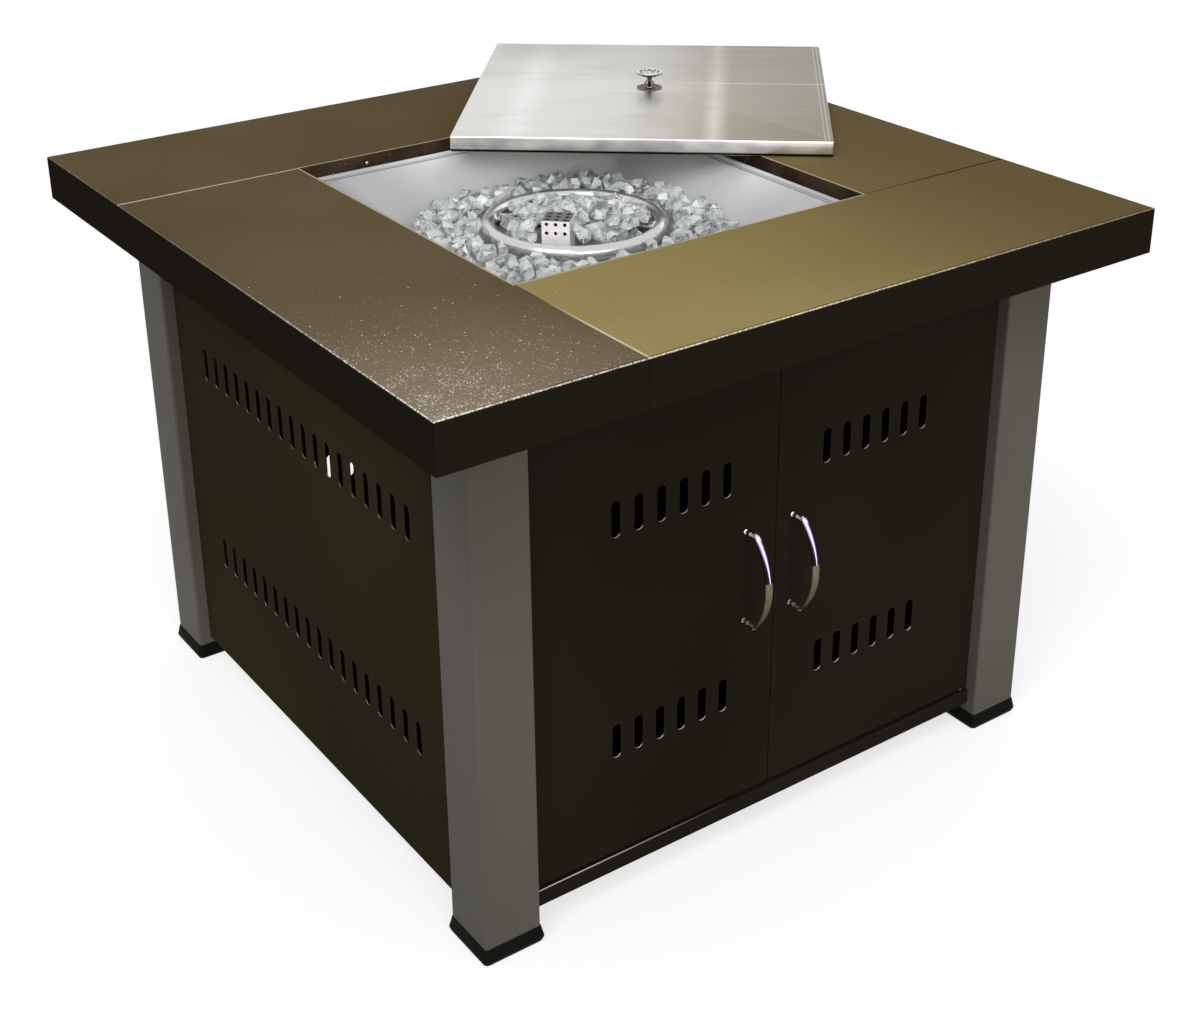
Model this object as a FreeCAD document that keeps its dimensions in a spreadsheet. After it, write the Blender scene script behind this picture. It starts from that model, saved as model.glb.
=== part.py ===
"""Square gas fire pit table with a cabinet base and a loose burner lid.

Millimetres, +Z up. The front, with its two doors, faces -Y. The origin is on the
floor, under the centre of the table.
"""
import FreeCAD, Part
import math
import os

import Sketcher
from FreeCAD import Placement, Rotation, Vector

# Driving sizes: name, millimetres unless said, meaning
DRIVING = [
    ("table_side", 965, "side of the square top"),
    ("top_height", 703, "floor to the top surface"),
    ("apron_depth", 55, "depth of the top's outer skirt"),
    ("top_gauge", 1.5, "sheet of the top panels"),
    ("top_edge_radius", 2, "rounding of the top's outer edges"),
    ("opening_side", 492, "side of the square burner opening"),
    ("opening_lip", 40, "depth of the wall round the opening"),
    ("seam_gap", 0.5, "gap between neighbouring top panels"),
    ("leg_span", 814, "outside width across two legs"),
    ("leg_side", 71, "side of the square leg tube"),
    ("leg_wall", 1.5, "wall of the leg tube"),
    ("leg_corner", 3, "corner radius of the leg tube"),
    ("foot_height", 20, "height of the foot cap under the leg"),
    ("foot_top", 72, "side of the foot cap where it meets the leg"),
    ("foot_widest", 80, "side of the foot cap at its widest"),
    ("foot_widest_height", 6, "height of the foot cap's widest line"),
    ("foot_sole", 76, "side of the foot cap's sole"),
    ("foot_plug_height", 15, "height of the plug inside the leg"),
    ("plug_clearance", 0.5, "gap between plug and leg tube, each side"),
    ("anchor_hole_radius", 3.25, "hole down through the foot cap"),
    ("wall_recess", 16, "doors and panels lie this far behind the leg faces"),
    ("sheet_gauge", 1.5, "sheet of panels, doors, shelf and rails"),
    ("panel_bottom", 30, "floor to the lower edge of the side panels"),
    ("panel_return", 20, "depth of the panels' folded returns"),
    ("fit_gap", 0.3, "gap where a piece slides in beside another"),
    ("rail_depth", 58.5, "height of the upper rails"),
    ("rail_top_flange", 25, "width of the rails' top flange"),
    ("rail_bottom_flange", 34, "width of the rails' bottom flange"),
    ("slot_width", 12, "width of a vent slot"),
    ("slot_height", 43, "height of a vent slot"),
    ("slot_pitch", 29.7, "spacing of the vent slots"),
    ("panel_slot_count", 18, "slots in one row of a side panel"),
    ("panel_slot_upper", 471, "height of the side panels' upper slot row"),
    ("panel_slot_lower", 200, "height of the side panels' lower slot row"),
    ("door_slot_count", 6, "slots in one row of a door"),
    ("door_slot_upper", 481, "height of the doors' upper slot row"),
    ("door_slot_lower", 205, "height of the doors' lower slot row"),
    ("door_slot_first", 72, "seam to the centre of the doors' first slot"),
    ("door_bottom", 57, "floor to the lower edge of the doors"),
    ("door_top_gap", 3, "gap between door and upper rail"),
    ("door_side_gap", 1.6, "gap between door and leg"),
    ("door_seam", 2, "gap between the two doors"),
    ("door_depth", 16, "depth of the folded door pan"),
    ("pin_inset", 8, "door edge to the hinge pin's axis"),
    ("pin_setback", 4.5, "door face to the hinge pin's axis"),
    ("pin_radius", 2, "radius of a hinge pin"),
    ("pin_shoulder", 3.5, "radius of the shoulder on a hinge pin"),
    ("pin_reach", 8, "length of hinge pin inside the door"),
    ("running_fit", 0.05, "radial clearance of turning and sliding fits"),
    ("shelf_top", 54, "floor to the top of the base shelf"),
    ("shelf_lip", 20, "depth of the shelf's down-turned edge"),
    ("lip_forward", 4, "the shelf's front lip stands this far before the doors"),
    ("handle_left_place", 44, "seam to the left handle's axis"),
    ("handle_right_place", 24, "seam to the right handle's axis"),
    ("handle_height", 352, "floor to the middle of the handles"),
    ("handle_centres", 114, "spacing of the handle posts"),
    ("handle_overhang", 6, "bow beyond the post's axis"),
    ("handle_standoff", 47, "door face to the bow's outermost point"),
    ("handle_rise", 31, "rise of the bow between its ends and its middle"),
    ("bow_width", 10, "width of the bow"),
    ("bow_thickness", 5, "thickness of the bow"),
    ("post_radius", 4, "radius of a handle post"),
    ("catch_place", 50, "seam to the middle of a magnetic catch"),
    ("catch_width", 36, "width of a magnetic catch"),
    ("catch_depth", 17, "depth of a magnetic catch"),
    ("catch_height", 14, "height of a magnetic catch"),
    ("catch_notch_width", 12, "width of the notch in a magnetic catch"),
    ("catch_notch_height", 3.5, "height of that notch"),
    ("strike_width", 28, "width of a strike plate"),
    ("screw_radius", 2, "radius of the self-tapping and handle screws"),
    ("screw_head_radius", 4, "radius of their heads"),
    ("screw_head_height", 2.4, "height of their heads"),
    ("screw_reach", 8, "length of screw beyond the outer sheet"),
    ("panel_screw_low", 120, "height of the lowest panel screws"),
    ("panel_screw_pitch", 220, "spacing of the panel screws"),
    ("panel_screw_count", 3, "panel screws in one return"),
    ("stud_radius", 3, "radius of the weld studs under the top"),
    ("stud_length", 10, "length of the weld studs"),
    ("stud_inset_first", 45.5, "end of a top panel to its first stud"),
    ("stud_inset_last", 36, "last stud to the other leg"),
    ("nut_width", 10, "width across flats of the stud nuts"),
    ("nut_height", 5, "height of the stud nuts"),
    ("tray_drop", 14, "top surface to the crown of the tray's rim bead"),
    ("tray_gauge", 1.2, "sheet of the burner tray"),
    ("tray_gap", 1.2, "gap between tray and opening wall"),
    ("tray_rim", 18, "width of the tray's flat rim"),
    ("tray_corner", 14, "corner radius of the tray"),
    ("bead_width", 7, "width of the rim bead"),
    ("bead_height", 4, "height of the rim bead"),
    ("bead_inset", 4, "tray edge to the bead"),
    ("tray_floor_drop", 72, "top surface to the tray floor"),
    ("tray_floor_side", 330, "side of the flat tray floor"),
    ("ledge_width", 14, "width of the ledge under the tray rim"),
    ("ledge_depth", 18, "height of the ledge frame"),
    ("ring_radius", 106.5, "burner ring, centre line"),
    ("ring_tube_radius", 9.5, "burner ring, tube"),
    ("ring_wall", 1.2, "wall of the burner tubes"),
    ("ring_top_drop", 45, "top surface to the burner ring's top"),
    ("arm_radius", 8, "cross tube of the burner"),
    ("arm_turn", -45, "turn of the cross tube in degrees"),
    ("hub_radius", 10.5, "threaded hub under the burner"),
    ("hub_wall", 2.4, "wall of the hub"),
    ("hub_drop", 30, "length of hub below the tray"),
    ("port_radius", 1.4, "gas port"),
    ("port_count", 24, "number of gas ports"),
    ("lock_nut_width", 32, "width across flats of the burner lock nut"),
    ("lock_nut_height", 8, "height of the burner lock nut"),
    ("mixer_radius", 14, "air mixer"),
    ("mixer_length", 48, "length of the air mixer"),
    ("mixer_socket", 12, "depth of the mixer's socket on the hub"),
    ("mixer_bore", 8, "bore radius of the air mixer"),
    ("air_hole_radius", 4, "air holes of the mixer"),
    ("air_hole_rise", 6, "mixer's solid end to the middle of its air holes"),
    ("mixer_base", 12, "solid lower end of the mixer"),
    ("tube_radius", 4.75, "rigid gas tube"),
    ("tube_bend", 28, "bend radius of the gas tube"),
    ("tube_drop", 40, "fall of the gas tube below the mixer"),
    ("tube_nut_width", 17, "width across flats of the tube nuts"),
    ("tube_nut_height", 14, "length of the tube nuts"),
    ("cover_side", 34, "side of the igniter cover"),
    ("cover_height", 48, "height of the igniter cover"),
    ("cover_gauge", 1.2, "sheet of the igniter cover"),
    ("cover_x", -51, "igniter cover, place across the table"),
    ("cover_y", -40, "igniter cover, place along the table"),
    ("cover_turn", 45, "igniter cover, turn in degrees"),
    ("cover_hole_radius", 2.2, "holes of the igniter cover"),
    ("cover_hole_pitch", 11, "spacing of the cover's holes"),
    ("cover_hole_drop", 4.2, "cover's top to the first row of holes in its walls"),
    ("probe_spread", 7, "cover's middle to electrode and to thermocouple"),
    ("probe_radius", 3, "electrode and thermocouple"),
    ("probe_drop", 32, "length of the probes below the tray floor"),
    ("probe_rise", 22, "length of the probes above the tray floor"),
    ("tip_radius", 1, "bare tips of the probes"),
    ("tip_rise", 10, "length of the bare tips"),
    ("lead_radius", 1.5, "ignition and thermocouple leads"),
    ("lead_bend", 12, "bend radius of the leads"),
    ("lead_inset", 3, "lead's axis to the edge of the piece it runs into"),
    ("igniter_lead_drop", 34, "fall of the ignition lead below its electrode"),
    ("probe_lead_drop", 30, "fall of the thermocouple lead"),
    ("chunk_pitch", 25, "spacing of the glass chunks"),
    ("chunk_radius", 11.8, "radius of a glass chunk"),
    ("glass_radius", 182, "radius of the bed of fire glass"),
    ("chunk_low", 18, "height of the lowest chunks"),
    ("chunk_high", 32, "height of the tallest chunks"),
    ("control_inset", 136, "left front leg to the control valve"),
    ("control_drop", 39, "upper rail down to the control valve"),
    ("bracket_setback", 61, "door face to the back of the control bracket"),
    ("bracket_inset", 46, "left front leg to the control bracket"),
    ("bracket_length", 170, "length of the control bracket"),
    ("bracket_height", 83, "height of the control bracket"),
    ("bracket_lap", 15, "the bracket's lap under the upper rail"),
    ("valve_side", 32, "width and height of the valve body"),
    ("valve_depth", 36, "depth of the valve body"),
    ("bonnet_radius", 9, "threaded bonnet of the valve"),
    ("bonnet_reach", 4, "bonnet before the bracket"),
    ("port_boss_radius", 8, "valve's inlet and outlet bosses"),
    ("port_boss_length", 8, "length of these bosses"),
    ("valve_nut_width", 24, "width across flats of the bonnet nut"),
    ("valve_nut_height", 3, "height of the bonnet nut"),
    ("stem_radius", 3, "valve stem"),
    ("stem_inside", 16, "stem inside the valve behind the bracket"),
    ("stem_spare", 1, "free depth behind the stem with the knob pushed in"),
    ("collar_radius", 3.9, "collar on the valve stem"),
    ("collar_height", 0.5, "thickness of that collar"),
    ("push_travel", 3, "the control knob pushes in by this"),
    ("push_stop", 0.5, "bonnet to collar with the knob pushed in"),
    ("knob_radius", 19, "control knob"),
    ("knob_length", 20, "length of the control knob"),
    ("knob_bore_depth", 13, "depth of the knob's bore"),
    ("pointer_width", 4, "width of the knob's raised pointer"),
    ("pointer_rise", 3, "pointer before the knob's face"),
    ("pointer_tail", 13, "knob's axis to the pointer's lower end"),
    ("pointer_reach", 16, "knob's axis to the pointer's tip"),
    ("hose_thread_radius", 7.9, "inlet fitting's flare thread"),
    ("hose_thread_length", 14, "length of that thread"),
    ("fitting_hex_width", 19, "width across flats of the inlet fitting"),
    ("fitting_hex_length", 8, "length of its hexagon"),
    ("igniter_inset", 84, "left front leg to the piezo igniter"),
    ("igniter_radius", 8, "piezo igniter body"),
    ("igniter_length", 45, "piezo igniter behind the bracket"),
    ("igniter_flange_radius", 11, "its front flange"),
    ("igniter_flange_height", 2, "thickness of that flange"),
    ("igniter_nut_width", 22, "width across flats of its nut"),
    ("button_radius", 6, "ignition button"),
    ("button_length", 18, "length of the ignition button"),
    ("button_proud", 8, "button before the flange"),
    ("button_travel", 5, "travel of the ignition button"),
    ("button_spare", 1, "free depth behind the pushed button"),
    ("button_crown_radius", 4.8, "raised middle of the button's face"),
    ("button_crown_height", 1, "height of that raised middle"),
    ("lid_side", 486, "side of the square lid"),
    ("lid_skirt", 21, "depth of the lid's skirt"),
    ("lid_gauge", 1.2, "sheet of the lid"),
    ("lid_edge_radius", 2, "rounding of the lid's upper edges"),
    ("lid_x", 283, "middle of the lid as it lies, across the table"),
    ("lid_y", 226, "middle of the lid as it lies, along the table"),
    ("lid_turn", -39.5, "turn of the lid as it lies, in degrees"),
    ("plate_radius", 17.5, "round plate under the lid knob"),
    ("plate_height", 0.8, "thickness of that plate"),
    ("grip_radius", 18, "disc of the lid knob"),
    ("grip_height", 22.5, "height of the lid knob above its plate"),
    ("grip_rim", 3.5, "height of the disc's rim"),
    ("grip_rim_wall", 2, "width of the rim's top"),
    ("grip_dish", 4.2, "depth of the dish in the disc"),
    ("grip_dish_radius", 4.3, "floor of that dish"),
    ("grip_neck_radius", 6.1, "neck under the disc"),
    ("grip_neck_drop", 7, "top of the knob down to the neck's widest line"),
    ("grip_stem_drop", 9.1, "top of the knob down to the plain stem"),
    ("grip_stem_radius", 3.6, "stem of the lid knob"),
    ("grip_foot_radius", 7.2, "foot of the lid knob"),
    ("grip_foot_height", 9.5, "height of that foot"),
    ("grip_foot_edge", 5, "height of the foot's straight edge"),
    ("grip_hole_radius", 4, "openings in the disc"),
    ("grip_hole_circle", 10.5, "circle of the openings in the disc"),
    ("grip_hole_count", 6, "number of openings in the disc"),
    ("grip_thread_depth", 9, "depth of the screw in the knob"),
]

document = FreeCAD.newDocument("fire_pit_table")
sheet = document.addObject("Spreadsheet::Sheet", "Sizes")
pieces = []


class Size:
    """A length that knows its value and the formula that ties it to the sheet."""

    def __init__(self, value, formula):
        self.value = value
        self.formula = formula

    def __add__(self, other):
        other = as_size(other)
        return Size(self.value + other.value, f"({self.formula} + {other.formula})")

    def __sub__(self, other):
        other = as_size(other)
        return Size(self.value - other.value, f"({self.formula} - {other.formula})")

    def __mul__(self, other):
        other = as_size(other)
        return Size(self.value * other.value, f"({self.formula} * {other.formula})")

    def __truediv__(self, other):
        other = as_size(other)
        return Size(self.value / other.value, f"({self.formula} / {other.formula})")

    def __neg__(self):
        return Size(-self.value, f"(0 - {self.formula})")

    __radd__ = __add__
    __rmul__ = __mul__

    def __rsub__(self, other):
        return as_size(other) - self


def as_size(thing):
    """Turn a plain number into a Size."""
    if isinstance(thing, Size):
        return thing
    return Size(float(thing), f"{thing}")


def root(size):
    """Square root of a Size."""
    return Size(math.sqrt(size.value), f"sqrt({size.formula})")


class Sizes:
    """The driving sizes by name."""


def fill_sheet():
    """Write the driving sizes into the sheet and return them by name."""
    for row, (name, value, meaning) in enumerate(DRIVING, start=1):
        sheet.set(f"A{row}", meaning)
        sheet.set(f"B{row}", str(value))
        sheet.setAlias(f"B{row}", name)
    document.recompute()
    named = Sizes()
    for name, _, _ in DRIVING:
        setattr(named, name, Size(float(sheet.get(name)), f"Sizes.{name}"))
    return named


s = fill_sheet()

# Levels and planes that several pieces share
half_table = s.table_side / 2
half_opening = s.opening_side / 2
top_under = s.top_height - s.top_gauge
leg_outside = s.leg_span / 2
leg_inside = leg_outside - s.leg_side
wall_face = leg_outside - s.wall_recess
wall_back = wall_face - s.sheet_gauge
rail_bottom = top_under - s.rail_depth
rail_screw_height = rail_bottom + s.rail_depth / 2
flange_middle = wall_face - (s.rail_top_flange + s.sheet_gauge) / 2
panel_half_width = leg_inside - s.fit_gap
panel_screw_line = wall_face - s.panel_return / 2
panel_screw_heights = [s.panel_screw_low + s.panel_screw_pitch * step
                       for step in range(int(s.panel_screw_count.value))]
screw_hole = s.screw_radius + s.running_fit
stud_first = s.seam_gap - half_opening + s.stud_inset_first
stud_last = leg_inside - s.stud_inset_last
stud_places = [stud_first, (stud_first + stud_last) / 2, stud_last]
door_top = rail_bottom - s.door_top_gap
door_outer = leg_inside - s.door_side_gap
pin_across = door_outer - s.pin_inset
pin_line = wall_face - s.pin_setback
door_back = wall_face - s.door_depth
bead_top = s.top_height - s.tray_drop
rim_top = bead_top - s.bead_height
rim_under = rim_top - s.tray_gauge
tray_floor = s.top_height - s.tray_floor_drop
tray_under = tray_floor - s.tray_gauge
ring_level = s.top_height - s.ring_top_drop - s.ring_tube_radius
hub_bottom = tray_under - s.hub_drop
mixer_top = hub_bottom + s.mixer_socket
mixer_bottom = mixer_top - s.mixer_length
control_x = s.control_inset - leg_inside
control_z = rail_bottom - s.control_drop
igniter_x = s.igniter_inset - leg_inside
bracket_plane = wall_face - s.bracket_setback
bracket_left = s.bracket_inset - leg_inside
bracket_right = bracket_left + s.bracket_length
bracket_bottom = rail_bottom - s.bracket_height
valve_back = bracket_plane - s.valve_depth
valve_middle = bracket_plane - s.valve_depth / 2
outlet_level = control_z - s.valve_side / 2 - s.port_boss_length
bracket_face = bracket_plane + s.sheet_gauge
bonnet_face = bracket_face + s.bonnet_reach
collar_back = bonnet_face + s.push_travel + s.push_stop
knob_back = collar_back + s.collar_height

HALF_ROOT = math.sqrt(0.5)
QUARTERS = {"front": 0, "right": 90, "back": 180, "left": 270}


def bind(thing, name, size):
    """Tie a property of an object to the sheet."""
    thing.setExpression(name, as_size(size).formula)


def move(thing, point):
    """Tie an object's place to the sheet."""
    for axis, place in zip("xyz", point):
        bind(thing, "Placement.Base." + axis, place)


def turned(turn):
    """A placement at the origin, turned about Z."""
    return Placement(Vector(0, 0, 0), Rotation(Vector(0, 0, 1), turn))


def heading(turn):
    """The level unit direction at a turn in degrees from +X."""
    angle = math.radians(as_size(turn).value)
    return round(math.cos(angle), 6), round(math.sin(angle), 6)


def keep(label, thing):
    """Name a finished sub-part."""
    thing.Label = label
    pieces.append(thing)
    return thing


TOWARDS = {
    "up": Rotation(),
    "down": Rotation(Vector(1, 0, 0), 180),
    "back": Rotation(Vector(1, 0, 0), -90),
    "front": Rotation(Vector(1, 0, 0), 90),
    "right": Rotation(Vector(0, 1, 0), 90),
    "left": Rotation(Vector(0, 1, 0), -90),
}


def block(low, sides):
    """A box from its low corner and its three sides."""
    box = document.addObject("Part::Box", "block")
    for name, side in zip(("Length", "Width", "Height"), sides):
        bind(box, name, side)
    move(box, low)
    return box


def block_between(low, high):
    """A box from its low corner to its high corner."""
    return block(low, [as_size(b) - a for a, b in zip(low, high)])


def rod(base, towards, radius, length):
    """A cylinder from its base centre, along a named direction."""
    cylinder = document.addObject("Part::Cylinder", "rod")
    cylinder.Placement = Placement(Vector(0, 0, 0), TOWARDS[towards])
    bind(cylinder, "Radius", radius)
    bind(cylinder, "Height", length)
    move(cylinder, base)
    return cylinder


def hexagon(base, towards, flats, length):
    """A hexagonal bar from its base centre and its width across flats."""
    prism = document.addObject("Part::Prism", "hexagon")
    prism.Polygon = 6
    prism.Placement = Placement(Vector(0, 0, 0), TOWARDS[towards])
    bind(prism, "Circumradius", as_size(flats) / math.sqrt(3))
    bind(prism, "Height", length)
    move(prism, base)
    return prism


def joined(things):
    """The union of several solids."""
    union = document.addObject("Part::MultiFuse", "joined")
    union.Shapes = things
    return union


def cut(base, tools):
    """A solid with others taken away."""
    result = document.addObject("Part::Cut", "cut")
    result.Base = base
    result.Tool = tools[0] if len(tools) == 1 else joined(tools)
    return result


def group(label, things):
    """Identical fasteners as one node of separate solids."""
    compound = document.addObject("Part::Compound", label)
    compound.Links = things
    return keep(label, compound)


def new_body(label, turn=0):
    """An empty body, turned about the table's centre line."""
    body = document.addObject("PartDesign::Body", label)
    body.Placement = turned(turn)
    return keep(label, body)


def new_sketch(body, role, lift=0):
    """A sketch on one of the body's own origin planes, lifted along its normal."""
    plane = [face for face in body.Origin.OriginFeatures if face.Role == role][0]
    sketch = body.newObject("Sketcher::SketchObject", body.Label + "_sketch")
    sketch.AttachmentSupport = [(plane, "")]
    sketch.MapMode = "FlatFace"
    bind(sketch, "AttachmentOffset.Base.z", lift)
    return sketch


def hold(sketch, kind, geometry, vertex, size):
    """Hold a point at a distance from the sketch's origin."""
    size = as_size(size)
    constraint = Sketcher.Constraint(kind, -1, 1, geometry, vertex, size.value)
    index = sketch.addConstraint(constraint)
    sketch.setExpression(f"Constraints[{index}]", size.formula)


def polygon(sketch, corners):
    """A closed outline of straight lines with every corner held."""
    first = sketch.GeometryCount
    count = len(corners)
    flat = [Vector(as_size(x).value, as_size(y).value, 0) for x, y in corners]
    for index in range(count):
        sketch.addGeometry(Part.LineSegment(flat[index], flat[(index + 1) % count]), False)
    for index in range(count):
        ends = (first + index, 2, first + (index + 1) % count, 1)
        sketch.addConstraint(Sketcher.Constraint("Coincident", *ends))
    for index, (x, y) in enumerate(corners):
        hold(sketch, "DistanceX", first + index, 1, x)
        hold(sketch, "DistanceY", first + index, 1, y)


def rectangle(sketch, low, high):
    """A rectangle between two corners."""
    polygon(sketch, [low, (high[0], low[1]), high, (low[0], high[1])])


def square(sketch, half):
    """A square about the sketch's origin."""
    rectangle(sketch, (-half, -half), (half, half))


def circle(sketch, centre, radius):
    """A circle with its centre and radius held."""
    x, y = [as_size(place) for place in centre]
    radius = as_size(radius)
    round_edge = Part.Circle(Vector(x.value, y.value, 0), Vector(0, 0, 1), radius.value)
    index = sketch.addGeometry(round_edge, False)
    hold(sketch, "DistanceX", index, 3, x)
    hold(sketch, "DistanceY", index, 3, y)
    size = sketch.addConstraint(Sketcher.Constraint("Radius", index, radius.value))
    sketch.setExpression(f"Constraints[{size}]", radius.formula)


def arc(centre, radius, start, end):
    """A circular arc for a sketch, its angles in quarter turns."""
    edge = Part.Circle(Vector(centre[0], centre[1], 0), Vector(0, 0, 1), radius)
    return Part.ArcOfCircle(edge, start * math.pi / 2, end * math.pi / 2)


def slot(sketch, centre, width, height):
    """An upright slot with round ends."""
    x, y = [as_size(place) for place in centre]
    radius = width / 2
    upper = y + height / 2 - radius
    lower = y - height / 2 + radius
    left = x.value - radius.value
    right = x.value + radius.value
    first = sketch.GeometryCount
    sketch.addGeometry(arc((x.value, upper.value), radius.value, 0, 2), False)
    sketch.addGeometry(Part.LineSegment(Vector(left, upper.value, 0), Vector(left, lower.value, 0)), False)
    sketch.addGeometry(arc((x.value, lower.value), radius.value, 2, 4), False)
    sketch.addGeometry(Part.LineSegment(Vector(right, lower.value, 0), Vector(right, upper.value, 0)), False)
    for index in range(4):
        ends = (first + index, 2, first + (index + 1) % 4, 1)
        sketch.addConstraint(Sketcher.Constraint("Tangent", *ends))
    sketch.addConstraint(Sketcher.Constraint("Equal", first, first + 2))
    size = sketch.addConstraint(Sketcher.Constraint("Radius", first, radius.value))
    sketch.setExpression(f"Constraints[{size}]", radius.formula)
    for arc_index, level in ((first, upper), (first + 2, lower)):
        hold(sketch, "DistanceX", arc_index, 3, x)
        hold(sketch, "DistanceY", arc_index, 3, level)


def rounded_square(sketch, half, radius):
    """A square about the sketch's origin with round corners."""
    straight = half.value - radius.value
    first = sketch.GeometryCount
    for index in range(4):
        turn = Rotation(Vector(0, 0, 1), 90 * index)
        start = turn.multVec(Vector(-straight, -half.value, 0))
        end = turn.multVec(Vector(straight, -half.value, 0))
        centre = turn.multVec(Vector(straight, -straight, 0))
        sketch.addGeometry(Part.LineSegment(start, end), False)
        sketch.addGeometry(arc((centre.x, centre.y), radius.value, index - 1, index), False)
    for index in range(8):
        ends = (first + index, 2, first + (index + 1) % 8, 1)
        sketch.addConstraint(Sketcher.Constraint("Tangent", *ends))
    inset = half - radius
    for index, (across, along) in enumerate([(1, -1), (1, 1), (-1, 1), (-1, -1)]):
        curve = first + 2 * index + 1
        hold(sketch, "DistanceX", curve, 3, inset * across)
        hold(sketch, "DistanceY", curve, 3, inset * along)
        size = sketch.addConstraint(Sketcher.Constraint("Radius", curve, radius.value))
        sketch.setExpression(f"Constraints[{size}]", radius.formula)


def pad(body, sketch, length, symmetric=False, backwards=False):
    """Add material from a sketch."""
    feature = body.newObject("PartDesign::Pad", body.Label + "_pad")
    feature.Profile = sketch
    bind(feature, "Length", length)
    feature.SideType = "Symmetric" if symmetric else "One side"
    feature.Reversed = backwards
    return feature


def pocket(body, sketch, length, symmetric=False, backwards=False):
    """Cut material from a sketch and make sure that some went."""
    before = settled(body).Volume
    feature = body.newObject("PartDesign::Pocket", body.Label + "_pocket")
    feature.Profile = sketch
    bind(feature, "Length", length)
    feature.SideType = "Symmetric" if symmetric else "One side"
    feature.Reversed = backwards
    if settled(body).Volume > before - 1e-3:
        raise RuntimeError(f"a pocket of {body.Label} cuts nothing")
    return feature


def settled(thing):
    """The shape of an object after a recompute."""
    document.recompute()
    return thing.Shape


def row_of(body, feature, sketch, axis, spacing, count):
    """Repeat a feature along an axis of its sketch."""
    pattern = body.newObject("PartDesign::LinearPattern", body.Label + "_row")
    pattern.Originals = [feature]
    pattern.Direction = (sketch, [axis])
    pattern.Mode = "Spacing"
    bind(pattern, "Offset", spacing)
    bind(pattern, "Occurrences", count)
    body.Tip = pattern
    return pattern


def round_edges(body, radius, chosen):
    """Fillet the edges of a body's tip that a test picks by their two ends."""
    tip = body.Tip
    names = []
    for index, edge in enumerate(settled(tip).Edges, start=1):
        ends = [vertex.Point for vertex in edge.Vertexes]
        if len(ends) == 2 and all(chosen(point) for point in ends):
            names.append(f"Edge{index}")
    fillet = body.newObject("PartDesign::Fillet", body.Label + "_fillet")
    fillet.Base = (tip, names)
    bind(fillet, "Radius", radius)
    return fillet


def near(number, size):
    """Whether a number lies at a Size."""
    return abs(number - as_size(size).value) < 1e-4


def top_panel(label, turn):
    """One folded panel of the top, drawn as the front one of the pinwheel."""
    body = new_body(label, turn)
    left = -half_opening + s.seam_gap
    inner = half_table - s.top_gauge
    sheet_top = new_sketch(body, "XY_Plane", top_under)
    rectangle(sheet_top, (left, -half_table), (half_table, -half_opening))
    pad(body, sheet_top, s.top_gauge)
    apron = new_sketch(body, "XY_Plane", s.top_height - s.apron_depth)
    polygon(apron, [(left, -half_table), (half_table, -half_table),
                    (half_table, -half_opening), (inner, -half_opening),
                    (inner, -inner), (left, -inner)])
    pad(body, apron, s.apron_depth)
    lip = new_sketch(body, "XY_Plane", s.top_height - s.opening_lip)
    rectangle(lip, (left, -half_opening - s.top_gauge), (half_opening, -half_opening))
    pad(body, lip, s.opening_lip)

    def outer_top(point):
        along_front = near(point.y, -half_table)
        along_end = near(point.x, half_table)
        return near(point.z, s.top_height) and (along_front or along_end)

    round_edges(body, s.top_edge_radius, outer_top)
    studs = new_sketch(body, "XY_Plane", top_under)
    for place in stud_places:
        circle(studs, (place, -flange_middle), s.stud_radius)
    pad(body, studs, s.stud_length, backwards=True)


def stud_nuts():
    """The nuts that hold the top panels to the upper rails."""
    nuts = []
    flange_under = top_under - s.sheet_gauge
    for turn in QUARTERS.values():
        for place in stud_places:
            base = (place, -flange_middle, flange_under - s.nut_height)
            blank = hexagon(base, "up", s.nut_width, s.nut_height)
            bore = rod(base, "up", s.stud_radius + s.running_fit, s.nut_height)
            nut = cut(blank, [bore])
            nut.Placement = turned(turn)
            nuts.append(nut)
    group("top_nuts", nuts)


def leg(label, turn, panel_sides):
    """A square leg tube, drawn as the front left one; a panel's side has its screw holes."""
    body = new_body(label, turn)
    section = new_sketch(body, "XY_Plane", s.foot_height)
    rectangle(section, (-leg_outside, -leg_outside), (-leg_inside, -leg_inside))
    pad(body, section, top_under - s.foot_height)
    settled(body)
    upright_edges(body, s.leg_corner)
    bore = new_sketch(body, "XY_Plane", s.foot_height)
    rectangle(bore, (-leg_outside + s.leg_wall, -leg_outside + s.leg_wall),
              (-leg_inside - s.leg_wall, -leg_inside - s.leg_wall))
    pocket(body, bore, top_under - s.foot_height, backwards=True)
    faces = [("YZ_Plane", -1, False), ("XZ_Plane", 1, True)]
    for (role, side, backwards), has_panel in zip(faces, panel_sides):
        holes = new_sketch(body, role, leg_inside * side)
        circle(holes, (-flange_middle, rail_screw_height), screw_hole)
        if has_panel:
            for height in panel_screw_heights:
                circle(holes, (-panel_screw_line, height), screw_hole)
        pocket(body, holes, s.leg_wall * 2, backwards=backwards)


def upright_edges(body, radius):
    """Round the upright edges of a body."""
    tip = body.Tip
    names = []
    for index, edge in enumerate(tip.Shape.Edges, start=1):
        start, end = [vertex.Point for vertex in edge.Vertexes]
        if abs(start.z - end.z) > 1:
            names.append(f"Edge{index}")
    fillet = body.newObject("PartDesign::Fillet", body.Label + "_fillet")
    fillet.Base = (tip, names)
    bind(fillet, "Radius", radius)


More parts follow.
